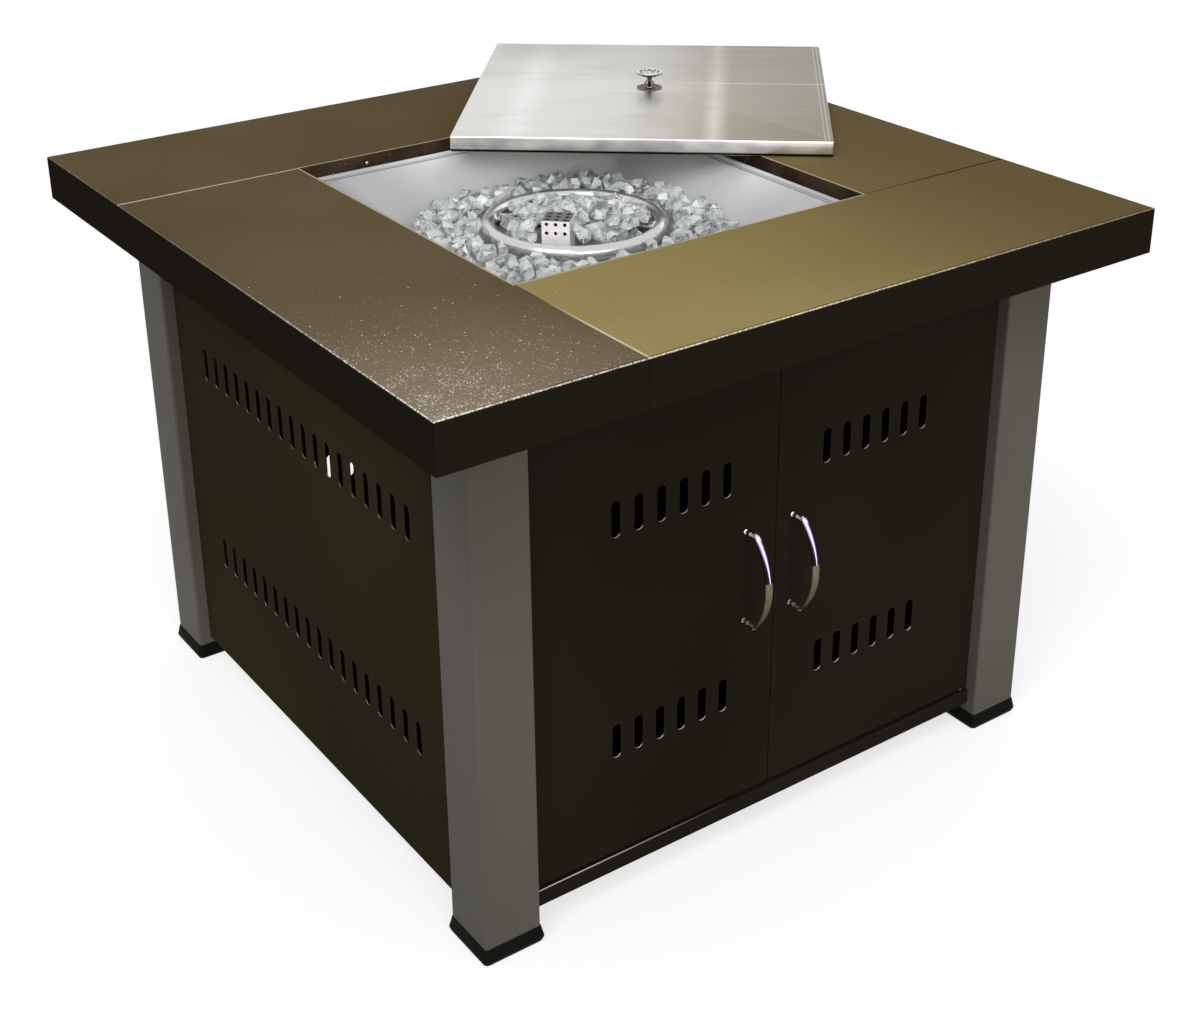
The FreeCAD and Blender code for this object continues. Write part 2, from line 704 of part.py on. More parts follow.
def foot(label, turn):
    """A plastic foot cap with its plug, drawn as the front left one."""
    body = new_body(label, turn)
    middle = -(leg_outside - s.leg_side / 2)
    rings = [(s.foot_sole, 0), (s.foot_widest, s.foot_widest_height), (s.foot_top, s.foot_height)]
    sections = []
    for side, level in rings:
        section = new_sketch(body, "XY_Plane", level)
        low = middle - side / 2
        high = middle + side / 2
        rectangle(section, (low, low), (high, high))
        sections.append(section)
    loft = body.newObject("PartDesign::AdditiveLoft", label + "_loft")
    loft.Profile = sections[0]
    loft.Sections = sections[1:]
    loft.Ruled = True
    plug = new_sketch(body, "XY_Plane", s.foot_height)
    half_plug = s.leg_side / 2 - s.leg_wall - s.plug_clearance
    rectangle(plug, (middle - half_plug, middle - half_plug), (middle + half_plug, middle + half_plug))
    pad(body, plug, s.foot_plug_height)
    anchor = new_sketch(body, "XY_Plane")
    circle(anchor, (middle, middle), s.anchor_hole_radius)
    pocket(body, anchor, s.foot_height + s.foot_plug_height, backwards=True)


def upper_rail(label, turn):
    """A channel between two legs, drawn as the front one."""
    body = new_body(label, turn)
    inner_face = -(wall_face - s.sheet_gauge)
    section = new_sketch(body, "YZ_Plane")
    polygon(section, [(-wall_face, rail_bottom),
                      (-wall_face + s.rail_bottom_flange, rail_bottom),
                      (-wall_face + s.rail_bottom_flange, rail_bottom + s.sheet_gauge),
                      (inner_face, rail_bottom + s.sheet_gauge),
                      (inner_face, top_under - s.sheet_gauge),
                      (-wall_face + s.rail_top_flange, top_under - s.sheet_gauge),
                      (-wall_face + s.rail_top_flange, top_under),
                      (-wall_face, top_under)])
    pad(body, section, leg_inside * 2, symmetric=True)
    for lift, backwards in ((-leg_inside, False), (leg_inside, True)):
        tab = new_sketch(body, "YZ_Plane", lift)
        rectangle(tab, (inner_face, rail_bottom + s.sheet_gauge),
                  (-wall_face + s.rail_top_flange, top_under - s.sheet_gauge))
        pad(body, tab, s.sheet_gauge, backwards=backwards)
    ends = new_sketch(body, "YZ_Plane")
    circle(ends, (-flange_middle, rail_screw_height), screw_hole)
    pocket(body, ends, leg_inside * 2, symmetric=True)
    studs = new_sketch(body, "XY_Plane", top_under)
    for place in stud_places:
        circle(studs, (place, -flange_middle), s.stud_radius + s.fit_gap)
    pocket(body, studs, s.sheet_gauge * 2)


def vent_slots(body, plane_lift, first, heights, count):
    """Rows of upright vent slots through a sheet that faces the front."""
    slots = new_sketch(body, "XZ_Plane", plane_lift)
    for height in heights:
        slot(slots, (first, height), s.slot_width, s.slot_height)
    cut_slots = pocket(body, slots, s.sheet_gauge)
    row_of(body, cut_slots, slots, "H_Axis", s.slot_pitch, count)


def side_panel(label, turn):
    """A folded wall panel between two legs, drawn at the front."""
    body = new_body(label, turn)
    section = new_sketch(body, "XY_Plane", s.panel_bottom)
    edge = panel_half_width
    depth = wall_face - s.panel_return
    polygon(section, [(-edge, -wall_face), (edge, -wall_face), (edge, -depth),
                      (edge - s.sheet_gauge, -depth), (edge - s.sheet_gauge, -wall_back),
                      (-edge + s.sheet_gauge, -wall_back), (-edge + s.sheet_gauge, -depth),
                      (-edge, -depth)])
    pad(body, section, rail_bottom - s.panel_bottom)
    holes = new_sketch(body, "YZ_Plane")
    for height in panel_screw_heights:
        circle(holes, (-panel_screw_line, height), screw_hole)
    pocket(body, holes, leg_inside * 2, symmetric=True)
    first = s.slot_pitch * (s.panel_slot_count - 1) / -2
    vent_slots(body, wall_face, first, [s.panel_slot_upper, s.panel_slot_lower], s.panel_slot_count)


def base_shelf():
    """The floor of the cabinet, a pan whose arms reach between the legs."""
    body = new_body("base_shelf")
    arm = panel_half_width - s.sheet_gauge - s.fit_gap
    front = wall_face + s.lip_forward

    def outline(sketch, inset):
        half = arm - inset
        reach = wall_back - inset
        polygon(sketch, [(-half, -front + inset), (half, -front + inset), (half, -half),
                         (reach, -half), (reach, half), (half, half), (half, reach),
                         (-half, reach), (-half, half), (-reach, half), (-reach, -half),
                         (-half, -half)])

    outer = new_sketch(body, "XY_Plane", s.shelf_top - s.shelf_lip)
    outline(outer, 0)
    pad(body, outer, s.shelf_lip)
    hollow = new_sketch(body, "XY_Plane", s.shelf_top - s.shelf_lip)
    outline(hollow, s.sheet_gauge)
    pocket(body, hollow, s.shelf_lip - s.sheet_gauge, backwards=True)


def door(side, handle_place):
    """One folded door pan with its slots, pin holes and handle holes."""
    label = "left_door" if side < 0 else "right_door"
    body = new_body(label)
    seam_edge = s.door_seam / 2 * side
    outer_edge = door_outer * side
    edges = [seam_edge, outer_edge] if side > 0 else [outer_edge, seam_edge]
    face = new_sketch(body, "XZ_Plane", wall_face)
    rectangle(face, (edges[0], s.door_bottom), (edges[1], door_top))
    pad(body, face, s.door_depth, backwards=True)
    hollow = new_sketch(body, "XZ_Plane", door_back)
    rectangle(hollow, (edges[0] + s.sheet_gauge, s.door_bottom + s.sheet_gauge),
              (edges[1] - s.sheet_gauge, door_top - s.sheet_gauge))
    pocket(body, hollow, s.door_depth - s.sheet_gauge, backwards=True)
    pins = new_sketch(body, "XY_Plane", door_top)
    circle(pins, (pin_across * side, -pin_line), s.pin_radius + s.running_fit)
    pocket(body, pins, door_top - s.door_bottom)
    posts = new_sketch(body, "XZ_Plane", wall_face)
    for end in (-1, 1):
        circle(posts, (handle_place * side, s.handle_height + s.handle_centres / 2 * end), screw_hole)
    pocket(body, posts, s.sheet_gauge)
    span = s.slot_pitch * (s.door_slot_count - 1)
    first = s.door_slot_first if side > 0 else -(s.door_slot_first + span)
    vent_slots(body, wall_face, first, [s.door_slot_upper, s.door_slot_lower], s.door_slot_count)


def handle(side, handle_place):
    """A bow handle: a curved bar on two posts."""
    x = handle_place * side
    half_length = s.handle_centres / 2 + s.handle_overhang
    bow_radius = (half_length * half_length + s.handle_rise * s.handle_rise) / (s.handle_rise * 2)
    outermost = wall_face + s.handle_standoff
    centre = (x - s.bow_width / 2, -outermost + bow_radius, s.handle_height)
    outside = rod(centre, "right", bow_radius, s.bow_width)
    inside = rod(centre, "right", bow_radius - s.bow_thickness, s.bow_width)
    window = block_between((x - s.bow_width / 2, -outermost, s.handle_height - half_length),
                           (x + s.bow_width / 2, -outermost + s.handle_rise + s.bow_thickness * 2,
                            s.handle_height + half_length))
    bow = document.addObject("Part::Common", "bow")
    bow.Base = cut(outside, [inside])
    bow.Tool = window
    parts = [bow]
    bores = []
    half_centres = s.handle_centres / 2
    sag = bow_radius - root(bow_radius * bow_radius - half_centres * half_centres)
    post_length = s.handle_standoff - sag - s.bow_thickness / 2
    for end in (-1, 1):
        base = (x, -wall_face, s.handle_height + half_centres * end)
        parts.append(rod(base, "front", s.post_radius, post_length))
        bores.append(rod(base, "front", screw_hole, s.screw_reach + s.fit_gap))
    label = "left_handle" if side < 0 else "right_handle"
    keep(label, cut(joined(parts), bores))


def screw(point, towards, inner_gap):
    """A pan-head screw whose head sits on a sheet; the shank runs on through it."""
    away = {"left": "right", "right": "left", "front": "back", "up": "down"}[towards]
    head = rod(point, away, s.screw_head_radius, s.screw_head_height)
    shank = rod(point, towards, s.screw_radius, inner_gap)
    return joined([head, shank])


def handle_screws(side, handle_place):
    """The two screws of a handle, put in from behind the door sheet."""
    screws = []
    for end in (-1, 1):
        height = s.handle_height + s.handle_centres / 2 * end
        point = (handle_place * side, -wall_back, height)
        screws.append(screw(point, "front", s.sheet_gauge + s.screw_reach))
    group("left_handle_screws" if side < 0 else "right_handle_screws", screws)


def strike_plate(side):
    """The steel plate on a door that meets its magnetic catch."""
    middle = s.catch_place * side
    low = (middle - s.strike_width / 2, -door_back - s.sheet_gauge, door_top - s.sheet_gauge - s.catch_height)
    sides = (s.strike_width, s.sheet_gauge, s.catch_height)
    keep("left_strike_plate" if side < 0 else "right_strike_plate", cut(
        block(low, sides),
        [rod((middle, -door_back - s.sheet_gauge, door_top - s.sheet_gauge - s.catch_height / 2),
             "back", s.screw_radius, s.sheet_gauge)]))


def hinge_pins():
    """The four fixed pins that the doors turn on, each with its shoulder."""
    pins = []
    shoulder = s.door_top_gap - s.fit_gap
    length = s.door_top_gap + s.sheet_gauge + s.pin_reach
    for side in (-1, 1):
        for level, towards in ((s.shelf_top, "up"), (rail_bottom, "down")):
            base = (pin_across * side, -pin_line, level)
            pins.append(joined([rod(base, towards, s.pin_shoulder, shoulder),
                                rod(base, towards, s.pin_radius, length)]))
    group("hinge_pins", pins)


def magnetic_catches():
    """The two catches under the front rail that hold the doors shut."""
    catches = []
    for side in (-1, 1):
        low = (s.catch_place * side - s.catch_width / 2, -door_back + s.fit_gap,
               rail_bottom - s.catch_height)
        shell = block(low, (s.catch_width, s.catch_depth, s.catch_height))
        notch_low = (s.catch_place * side - s.catch_notch_width / 2, -door_back + s.fit_gap,
                     rail_bottom - s.catch_height)
        notch = block(notch_low, (s.catch_notch_width, s.catch_depth, s.catch_notch_height))
        catches.append(cut(shell, [notch]))
    group("magnetic_catches", catches)


def rail_screws():
    """The screws from the rails' end tabs into the legs."""
    screws = []
    for turn in QUARTERS.values():
        for side, towards in ((-1, "left"), (1, "right")):
            point = ((leg_inside - s.sheet_gauge) * side, -flange_middle, rail_screw_height)
            one = screw(point, towards, s.sheet_gauge + s.screw_reach)
            one.Placement = turned(turn)
            screws.append(one)
    group("rail_screws", screws)


def panel_screws():
    """The screws from the side panels' returns into the legs."""
    screws = []
    for name in ("right", "back", "left"):
        for side, towards in ((-1, "left"), (1, "right")):
            for height in panel_screw_heights:
                inner = (panel_half_width - s.sheet_gauge) * side
                one = screw((inner, -panel_screw_line, height), towards,
                            s.sheet_gauge + s.screw_reach)
                one.Placement = turned(QUARTERS[name])
                screws.append(one)
    group("panel_screws", screws)


def tray_ledge():
    """The angle frame inside the opening that carries the burner tray."""
    base = rim_under - s.ledge_depth

    def frame(inner_half, low, high):
        outer = block_between((-half_opening, -half_opening, low), (half_opening, half_opening, high))
        hole = block_between((-inner_half, -inner_half, low), (inner_half, inner_half, high))
        return cut(outer, [hole])

    upright = frame(half_opening - s.sheet_gauge, base, rim_under)
    ledge = frame(half_opening - s.ledge_width, rim_under - s.sheet_gauge, rim_under)
    keep("tray_ledge_frame", joined([upright, ledge]))


def burner_tray():
    """The stainless pan that holds the burner and the fire glass."""
    body = new_body("burner_tray")
    edge = half_opening - s.tray_gap
    slope_top = edge - s.tray_rim
    floor_half = s.tray_floor_side / 2
    rim = new_sketch(body, "XY_Plane", rim_under)
    rounded_square(rim, edge, s.tray_corner)
    pad(body, rim, s.tray_gauge)
    bead = new_sketch(body, "XY_Plane", rim_top)
    rounded_square(bead, edge - s.bead_inset, s.tray_corner)
    rounded_square(bead, edge - s.bead_inset - s.bead_width, s.tray_corner - s.bead_width / 2)
    pad(body, bead, s.bead_height)
    for kind, thickness, extra in (("AdditiveLoft", 0, s.tray_gauge), ("SubtractiveLoft", s.tray_gauge, 0)):
        upper = new_sketch(body, "XY_Plane", rim_top)
        rounded_square(upper, slope_top - thickness, s.tray_corner)
        lower = new_sketch(body, "XY_Plane", tray_floor - extra)
        rounded_square(lower, floor_half - thickness, s.tray_corner)
        loft = body.newObject("PartDesign::" + kind, "tray_loft")
        loft.Profile = upper
        loft.Sections = [lower]
        loft.Ruled = True
        body.Tip = loft
    holes = new_sketch(body, "XY_Plane", tray_floor)
    circle(holes, (0, 0), s.hub_radius + s.fit_gap)
    for place in probe_places():
        circle(holes, place, s.probe_radius + s.fit_gap)
    pocket(body, holes, s.tray_gauge * 2)


def probe_places():
    """Where the electrode and the thermocouple stand under the igniter cover."""
    cover_across, cover_along = heading(s.cover_turn)
    across = s.probe_spread * cover_across
    along = s.probe_spread * cover_along
    return [(s.cover_x - across, s.cover_y - along), (s.cover_x + across, s.cover_y + along)]


def burner_ring():
    """The hollow burner ring with its cross tube, hub and gas ports."""
    arm_across, arm_along = heading(s.arm_turn)

    def tubes(wall, hub_wall):
        ring = document.addObject("Part::Torus", "ring")
        bind(ring, "Radius1", s.ring_radius)
        bind(ring, "Radius2", s.ring_tube_radius - wall)
        move(ring, (0, 0, ring_level))
        arm = document.addObject("Part::Cylinder", "arm")
        arm_turn = Rotation(Vector(0, 0, 1), s.arm_turn.value).multiply(TOWARDS["right"])
        arm.Placement = Placement(Vector(0, 0, 0), arm_turn)
        bind(arm, "Radius", s.arm_radius - wall)
        bind(arm, "Height", s.ring_radius * 2)
        move(arm, (-s.ring_radius * arm_across, -s.ring_radius * arm_along, ring_level))
        hub = rod((0, 0, hub_bottom), "up", s.hub_radius - hub_wall,
                  ring_level - hub_bottom - wall)
        return [ring, arm, hub]

    inside = tubes(s.ring_wall, s.hub_wall)
    reach = s.ring_radius - s.ring_tube_radius - s.ring_wall
    ports = []
    for index in range(int(s.port_count.value)):
        port = document.addObject("Part::Cylinder", "port")
        angle = 360 * (index + 0.5) / s.port_count.value
        port_turn = Rotation(Vector(0, 0, 1), angle).multiply(TOWARDS["right"])
        port.Placement = Placement(Vector(0, 0, 0), port_turn)
        bind(port, "Radius", s.port_radius)
        bind(port, "Height", s.ring_wall * 3)
        across, along = heading(angle)
        move(port, (reach * across, reach * along, ring_level))
        ports.append(port)
    keep("burner_ring", cut(joined(tubes(0, 0)), inside + ports))


def lock_nut():
    """The nut that clamps the burner's hub to the tray floor."""
    base = (0, 0, tray_under - s.lock_nut_height)
    blank = hexagon(base, "up", s.lock_nut_width, s.lock_nut_height)
    bore = rod(base, "up", s.hub_radius + s.running_fit, s.lock_nut_height)
    keep("burner_lock_nut", cut(blank, [bore]))


def air_mixer():
    """The brass mixer that draws air into the gas below the burner."""
    shell = rod((0, 0, mixer_bottom), "up", s.mixer_radius, s.mixer_length)
    spigot = rod((0, 0, mixer_bottom - s.tube_nut_height), "up", s.tube_radius + s.sheet_gauge,
                 s.tube_nut_height)
    socket = rod((0, 0, mixer_top - s.mixer_socket), "up", s.hub_radius + s.running_fit, s.mixer_socket)
    throat = rod((0, 0, mixer_bottom + s.mixer_base), "up", s.mixer_bore,
                 s.mixer_length - s.mixer_base)
    orifice = rod((0, 0, mixer_bottom - s.tube_nut_height), "up", s.port_radius,
                  s.tube_nut_height + s.mixer_base)
    air_level = mixer_bottom + s.mixer_base + s.air_hole_rise
    across = rod((-s.mixer_radius, 0, air_level), "right", s.air_hole_radius, s.mixer_radius * 2)
    along = rod((0, -s.mixer_radius, air_level), "back", s.air_hole_radius, s.mixer_radius * 2)
    seat = rod((0, 0, mixer_bottom - s.tube_nut_height), "up", s.tube_radius + s.running_fit,
               s.tube_nut_height / 2)
    keep("air_mixer", cut(joined([shell, spigot]), [socket, throat, orifice, across, along, seat]))


def rounded_route(label, start, end, low, bend, radius):
    """A tube that drops, crosses level and rises again, in one upright plane."""
    across = end[0] - start[0]
    along = end[1] - start[1]
    length = root(across * across + along * along)
    body = new_body(label)
    turn = math.degrees(math.atan2(along.value, across.value))
    body.Placement = turned(turn)
    move(body, (start[0], start[1], 0))
    spine = new_sketch(body, "XZ_Plane")
    first_top = as_size(start[2])
    last_top = as_size(end[2])
    level = low + bend
    far = length - bend
    points = [(0, first_top), (0, level), (bend, low), (far, low), (length, level), (length, last_top)]
    flat = [Vector(as_size(x).value, as_size(y).value, 0) for x, y in points]
    spine.addGeometry(Part.LineSegment(flat[0], flat[1]), False)
    spine.addGeometry(arc((bend.value, level.value), bend.value, 2, 3), False)
    spine.addGeometry(Part.LineSegment(flat[2], flat[3]), False)
    spine.addGeometry(arc((far.value, level.value), bend.value, 3, 4), False)
    spine.addGeometry(Part.LineSegment(flat[4], flat[5]), False)
    for joint in ((0, 2, 1, 1), (1, 2, 2, 1), (2, 2, 3, 1), (3, 2, 4, 1)):
        spine.addConstraint(Sketcher.Constraint("Tangent", *joint))
    for line, (x, y) in ((0, points[0]), (4, points[5])):
        vertex = 1 if line == 0 else 2
        hold(spine, "DistanceX", line, vertex, x)
        hold(spine, "DistanceY", line, vertex, y)
        spine.addConstraint(Sketcher.Constraint("Vertical", line))
    spine.addConstraint(Sketcher.Constraint("Horizontal", 2))
    hold(spine, "DistanceY", 2, 1, low)
    spine.addConstraint(Sketcher.Constraint("Equal", 1, 3))
    size = spine.addConstraint(Sketcher.Constraint("Radius", 1, bend.value))
    spine.setExpression(f"Constraints[{size}]", bend.formula)
    section = new_sketch(body, "XY_Plane", first_top)
    circle(section, (0, 0), radius)
    pipe = body.newObject("PartDesign::AdditivePipe", label + "_pipe")
    pipe.Profile = section
    pipe.Spine = spine
    pipe.Transition = "Transformed"


def gas_tube():
    """The rigid tube from the valve to the mixer, with its two nuts."""
    mixer_end = mixer_bottom - s.tube_nut_height / 2
    low = mixer_bottom - s.tube_nut_height - s.tube_drop
    zero = as_size(0)
    rounded_route("gas_tube", (zero, zero, mixer_end), (control_x, -valve_middle, outlet_level),
                  low, s.tube_bend, s.tube_radius)
    nuts = []
    for x, y, high, bore_radius in (
            (0, 0, mixer_bottom, s.tube_radius + s.sheet_gauge + s.running_fit),
            (control_x, -valve_middle, outlet_level, s.tube_radius + s.running_fit)):
        base = (x, y, high - s.tube_nut_height)
        blank = hexagon(base, "up", s.tube_nut_width, s.tube_nut_height)
        nuts.append(cut(blank, [rod(base, "up", bore_radius, s.tube_nut_height)]))
    group("tube_nuts", nuts)


def control_bracket():
    """The angle that hangs the controls under the front rail."""
    plate = block_between((bracket_left, -bracket_face, bracket_bottom),
                          (bracket_right, -bracket_plane, rail_bottom))
    lap_edge = wall_face - s.rail_bottom_flange + s.bracket_lap
    flange = block_between((bracket_left, -lap_edge, rail_bottom - s.sheet_gauge),
                           (bracket_right, -bracket_plane, rail_bottom))
    valve_hole = rod((control_x, -bracket_face, control_z), "back",
                     s.bonnet_radius + s.fit_gap, s.sheet_gauge)
    igniter_hole = rod((igniter_x, -bracket_face, control_z), "back",
                       s.igniter_radius + s.fit_gap, s.sheet_gauge)
    keep("control_bracket", cut(joined([plate, flange]), [valve_hole, igniter_hole]))


def gas_valve():
    """The gas valve behind the bracket, with its bonnet and bosses."""
    half = s.valve_side / 2
    case = block_between((control_x - half, -bracket_plane, control_z - half),
                         (control_x + half, -valve_back, control_z + half))
    bonnet = rod((control_x, -bracket_plane, control_z), "front", s.bonnet_radius,
                 s.sheet_gauge + s.bonnet_reach)
    outlet = rod((control_x, -valve_middle, control_z - half), "down",
                 s.port_boss_radius, s.port_boss_length)
    inlet = rod((control_x + half, -valve_middle, control_z), "right",
                s.port_boss_radius, s.port_boss_length)
    bore = rod((control_x, -bonnet_face, control_z), "back", s.stem_radius + s.running_fit,
               bonnet_face - bracket_plane + s.stem_inside + s.push_travel + s.stem_spare)
    keep("gas_valve", cut(joined([case, bonnet, outlet, inlet]), [bore]))
    nut_base = (control_x, -bracket_face, control_z)
    blank = hexagon(nut_base, "front", s.valve_nut_width, s.valve_nut_height)
    nut_bore = rod(nut_base, "front", s.bonnet_radius + s.running_fit, s.valve_nut_height)
    keep("valve_nut", cut(blank, [nut_bore]))


def inlet_fitting():
    """The brass flare fitting that the gas hose screws onto."""
    start = control_x + s.valve_side / 2 + s.port_boss_length
    hexagon_part = hexagon((start, -valve_middle, control_z), "right",
                           s.fitting_hex_width, s.fitting_hex_length)
    thread = rod((start + s.fitting_hex_length, -valve_middle, control_z), "right",
                 s.hose_thread_radius, s.hose_thread_length)
    way = rod((start + s.fitting_hex_length, -valve_middle, control_z), "right",
              s.stem_radius, s.hose_thread_length)
    keep("inlet_fitting", cut(joined([hexagon_part, thread]), [way]))


def valve_stem():
    """The sprung stem that the control knob pushes and turns on."""
    start = bracket_plane - s.stem_inside
    front = knob_back + s.knob_bore_depth - s.fit_gap
    shaft = rod((control_x, -start, control_z), "front", s.stem_radius, front - start)
    collar = rod((control_x, -collar_back, control_z), "front", s.collar_radius, s.collar_height)
    keep("valve_stem", joined([shaft, collar]))


def control_knob():
    """The round control knob with its raised pointer."""
    grip = rod((control_x, -knob_back, control_z), "front", s.knob_radius, s.knob_length)
    pointer_low = (control_x - s.pointer_width / 2, -knob_back - s.knob_length - s.pointer_rise,
                   control_z - s.pointer_tail)
    pointer = block(pointer_low, (s.pointer_width, s.knob_length, s.pointer_tail + s.pointer_reach))
    bore = rod((control_x, -knob_back, control_z), "front", s.stem_radius + s.running_fit,
               s.knob_bore_depth)
    keep("control_knob", cut(joined([grip, pointer]), [bore]))


def igniter():
    """The piezo igniter, its nut and its push button."""
    flange_face = bracket_face + s.igniter_flange_height
    case_end = bracket_plane - s.igniter_length
    case = rod((igniter_x, -flange_face, control_z), "back", s.igniter_radius,
               flange_face - case_end)
    flange = rod((igniter_x, -bracket_face, control_z), "front", s.igniter_flange_radius,
                 s.igniter_flange_height)
    bore_depth = s.button_length - s.button_proud + s.button_travel + s.button_spare
    bore = rod((igniter_x, -flange_face, control_z), "back", s.button_radius + s.running_fit,
               bore_depth)
    keep("piezo_igniter", cut(joined([case, flange]), [bore]))
    nut_base = (igniter_x, -bracket_plane, control_z)
    blank = hexagon(nut_base, "back", s.igniter_nut_width, s.igniter_flange_height * 2)
    nut_bore = rod(nut_base, "back", s.igniter_radius + s.running_fit, s.igniter_flange_height * 2)
    keep("igniter_nut", cut(blank, [nut_bore]))
    button_front = flange_face + s.button_proud
    keep("ignition_button", joined([
        rod((igniter_x, -button_front, control_z), "back", s.button_radius, s.button_length),
        rod((igniter_x, -button_front, control_z), "front", s.button_crown_radius,
            s.button_crown_height)]))


def igniter_cover():
    """The perforated box that shields the electrode and the thermocouple."""
    body = new_body("igniter_cover", s.cover_turn.value)
    move(body, (s.cover_x, s.cover_y, tray_floor))
    half = s.cover_side / 2
    inner = half - s.cover_gauge
    outline = new_sketch(body, "XY_Plane")
    square(outline, half)
    pad(body, outline, s.cover_height)
    hollow = new_sketch(body, "XY_Plane")
    square(hollow, inner)
    pocket(body, hollow, s.cover_height - s.cover_gauge, backwards=True)
    steps = (-1, 0, 1)
    top = new_sketch(body, "XY_Plane", s.cover_height)
    for across in steps:
        for along in steps:
            circle(top, (s.cover_hole_pitch * across, s.cover_hole_pitch * along), s.cover_hole_radius)
    pocket(body, top, s.cover_gauge * 2)
    for role in ("XZ_Plane", "YZ_Plane"):
        walls = new_sketch(body, role)
        for across in steps:
            for row in (0, 1):
                height = s.cover_height - s.cover_hole_drop - s.cover_hole_pitch * row
                circle(walls, (s.cover_hole_pitch * across, height), s.cover_hole_radius)
        pocket(body, walls, s.cover_side, symmetric=True)


def probes():
    """The ignition electrode and the thermocouple, with their leads."""
    ends = [(igniter_x, -(bracket_plane - s.igniter_length + s.lead_inset),
             control_z - s.igniter_radius),
            (control_x + s.valve_side / 2 - s.lead_inset,
             -(valve_back + s.lead_inset), control_z - s.valve_side / 2)]
    drops = (s.igniter_lead_drop, s.probe_lead_drop)
    names = ("ignition_electrode", "thermocouple")
    leads = ("ignition_lead", "thermocouple_lead")
    foot_level = tray_floor - s.probe_drop
    top_level = tray_floor + s.probe_rise
    for place, end, drop, name, lead in zip(probe_places(), ends, drops, names, leads):
        stem = rod((place[0], place[1], foot_level), "up", s.probe_radius,
                   s.probe_drop + s.probe_rise)
        tip = rod((place[0], place[1], top_level), "up", s.tip_radius, s.tip_rise)
        keep(name, joined([stem, tip]))
        start = (place[0], place[1], foot_level)
        rounded_route(lead, start, end, foot_level - drop, s.lead_bend, s.lead_radius)


# Shape of a glass chunk, as shares of its radius and its height
FEWEST_SIDES = 5
FOOT_SHARE = 0.72
CROWN_SHARE = 0.5
WAIST_LOW = 0.35
WAIST_SPREAD = 0.2
LEAN_SHARE = 0.16
FLATTEST = 0.72
RAGGED = 0.1
SIDE_SHIFT = 0.3
GOLDEN_TURN = math.pi * (3 - math.sqrt(5))
GOLDEN_SHARE = (math.sqrt(5) - 1) / 2


def glass_chunk(x, y, index):
    """One faceted chunk of fire glass standing on the tray floor."""
    sides = FEWEST_SIDES + index % 2
    turn = GOLDEN_TURN * index
    size = s.chunk_radius.value
    share = index * GOLDEN_SHARE % 1
    height = s.chunk_low.value + (s.chunk_high.value - s.chunk_low.value) * share
    stretch = FLATTEST + (1 - FLATTEST) * (1 + math.cos(turn)) / 2
    levels = [(FOOT_SHARE, 0), (1, WAIST_LOW + WAIST_SPREAD * share), (CROWN_SHARE, 1)]
    rings = []
    for scale, level in levels:
        lean = size * LEAN_SHARE * level
        ring = []
        for side in range(sides):
            ragged = math.sin(sides * side + index)
            angle = turn + 2 * math.pi * side / sides + SIDE_SHIFT * ragged
            radius = size * scale * (1 - RAGGED * (1 + ragged))
            ring.append(Vector(x + radius * math.cos(angle) * stretch + lean * math.cos(turn),
                               y + radius * math.sin(angle) + lean * math.sin(turn),
                               tray_floor.value + height * level))
        rings.append(ring)
    faces = [Part.Face(Part.makePolygon(rings[0] + rings[0][:1])),
             Part.Face(Part.makePolygon(rings[-1] + rings[-1][:1]))]
    for lower, upper in zip(rings, rings[1:]):
        for side in range(sides):
            after = (side + 1) % sides
            corners = [lower[side], lower[after], upper[after], upper[side], lower[side]]
            faces.append(Part.Face(Part.makePolygon(corners)))
    chunk = Part.Solid(Part.Shell(faces))
    if chunk.Volume < 0:
        chunk.reverse()
    return chunk


def fire_glass():
    """The loose glass chunks on the tray floor, inside and round the ring."""
    pitch = s.chunk_pitch.value
    row_pitch = pitch * math.sqrt(3) / 2
    reach = s.glass_radius.value
    rows = int(reach / row_pitch)
    chunks = []
    index = 0
    for row in range(-rows, rows + 1):
        shift = pitch / 2 if row % 2 else 0
        columns = int(reach / pitch) + 1
        for column in range(-columns, columns + 1):
            index += 1
            x = column * pitch + shift
            y = row * row_pitch
            if glass_fits(x, y):
                chunks.append(glass_chunk(x, y, index))
    feature = document.addObject("Part::Feature", "fire_glass")
    feature.Shape = Part.makeCompound(chunks)
    feature.Placement = Placement()
    keep("fire_glass", feature)


def glass_fits(x, y):
    """Whether a chunk at a place stays on the floor and clears the burner and the igniter cover."""
    chunk = s.chunk_radius.value * (1 + LEAN_SHARE)
    gap = s.fit_gap.value
    distance = math.hypot(x, y)
    if distance > s.glass_radius.value:
        return False
    if max(abs(x), abs(y)) > s.tray_floor_side.value / 2 - s.tray_gauge.value - chunk - gap:
        return False
    if abs(distance - s.ring_radius.value) < s.ring_tube_radius.value + chunk + gap:
        return False
    if distance < s.hub_radius.value + chunk + gap:
        return False
    arm_across, arm_along = heading(s.arm_turn)
    if abs(x * arm_along - y * arm_across) < s.arm_radius.value + chunk + gap:
        return False
    cover = math.hypot(x - s.cover_x.value, y - s.cover_y.value)
    return cover > s.cover_side.value * HALF_ROOT + chunk + gap


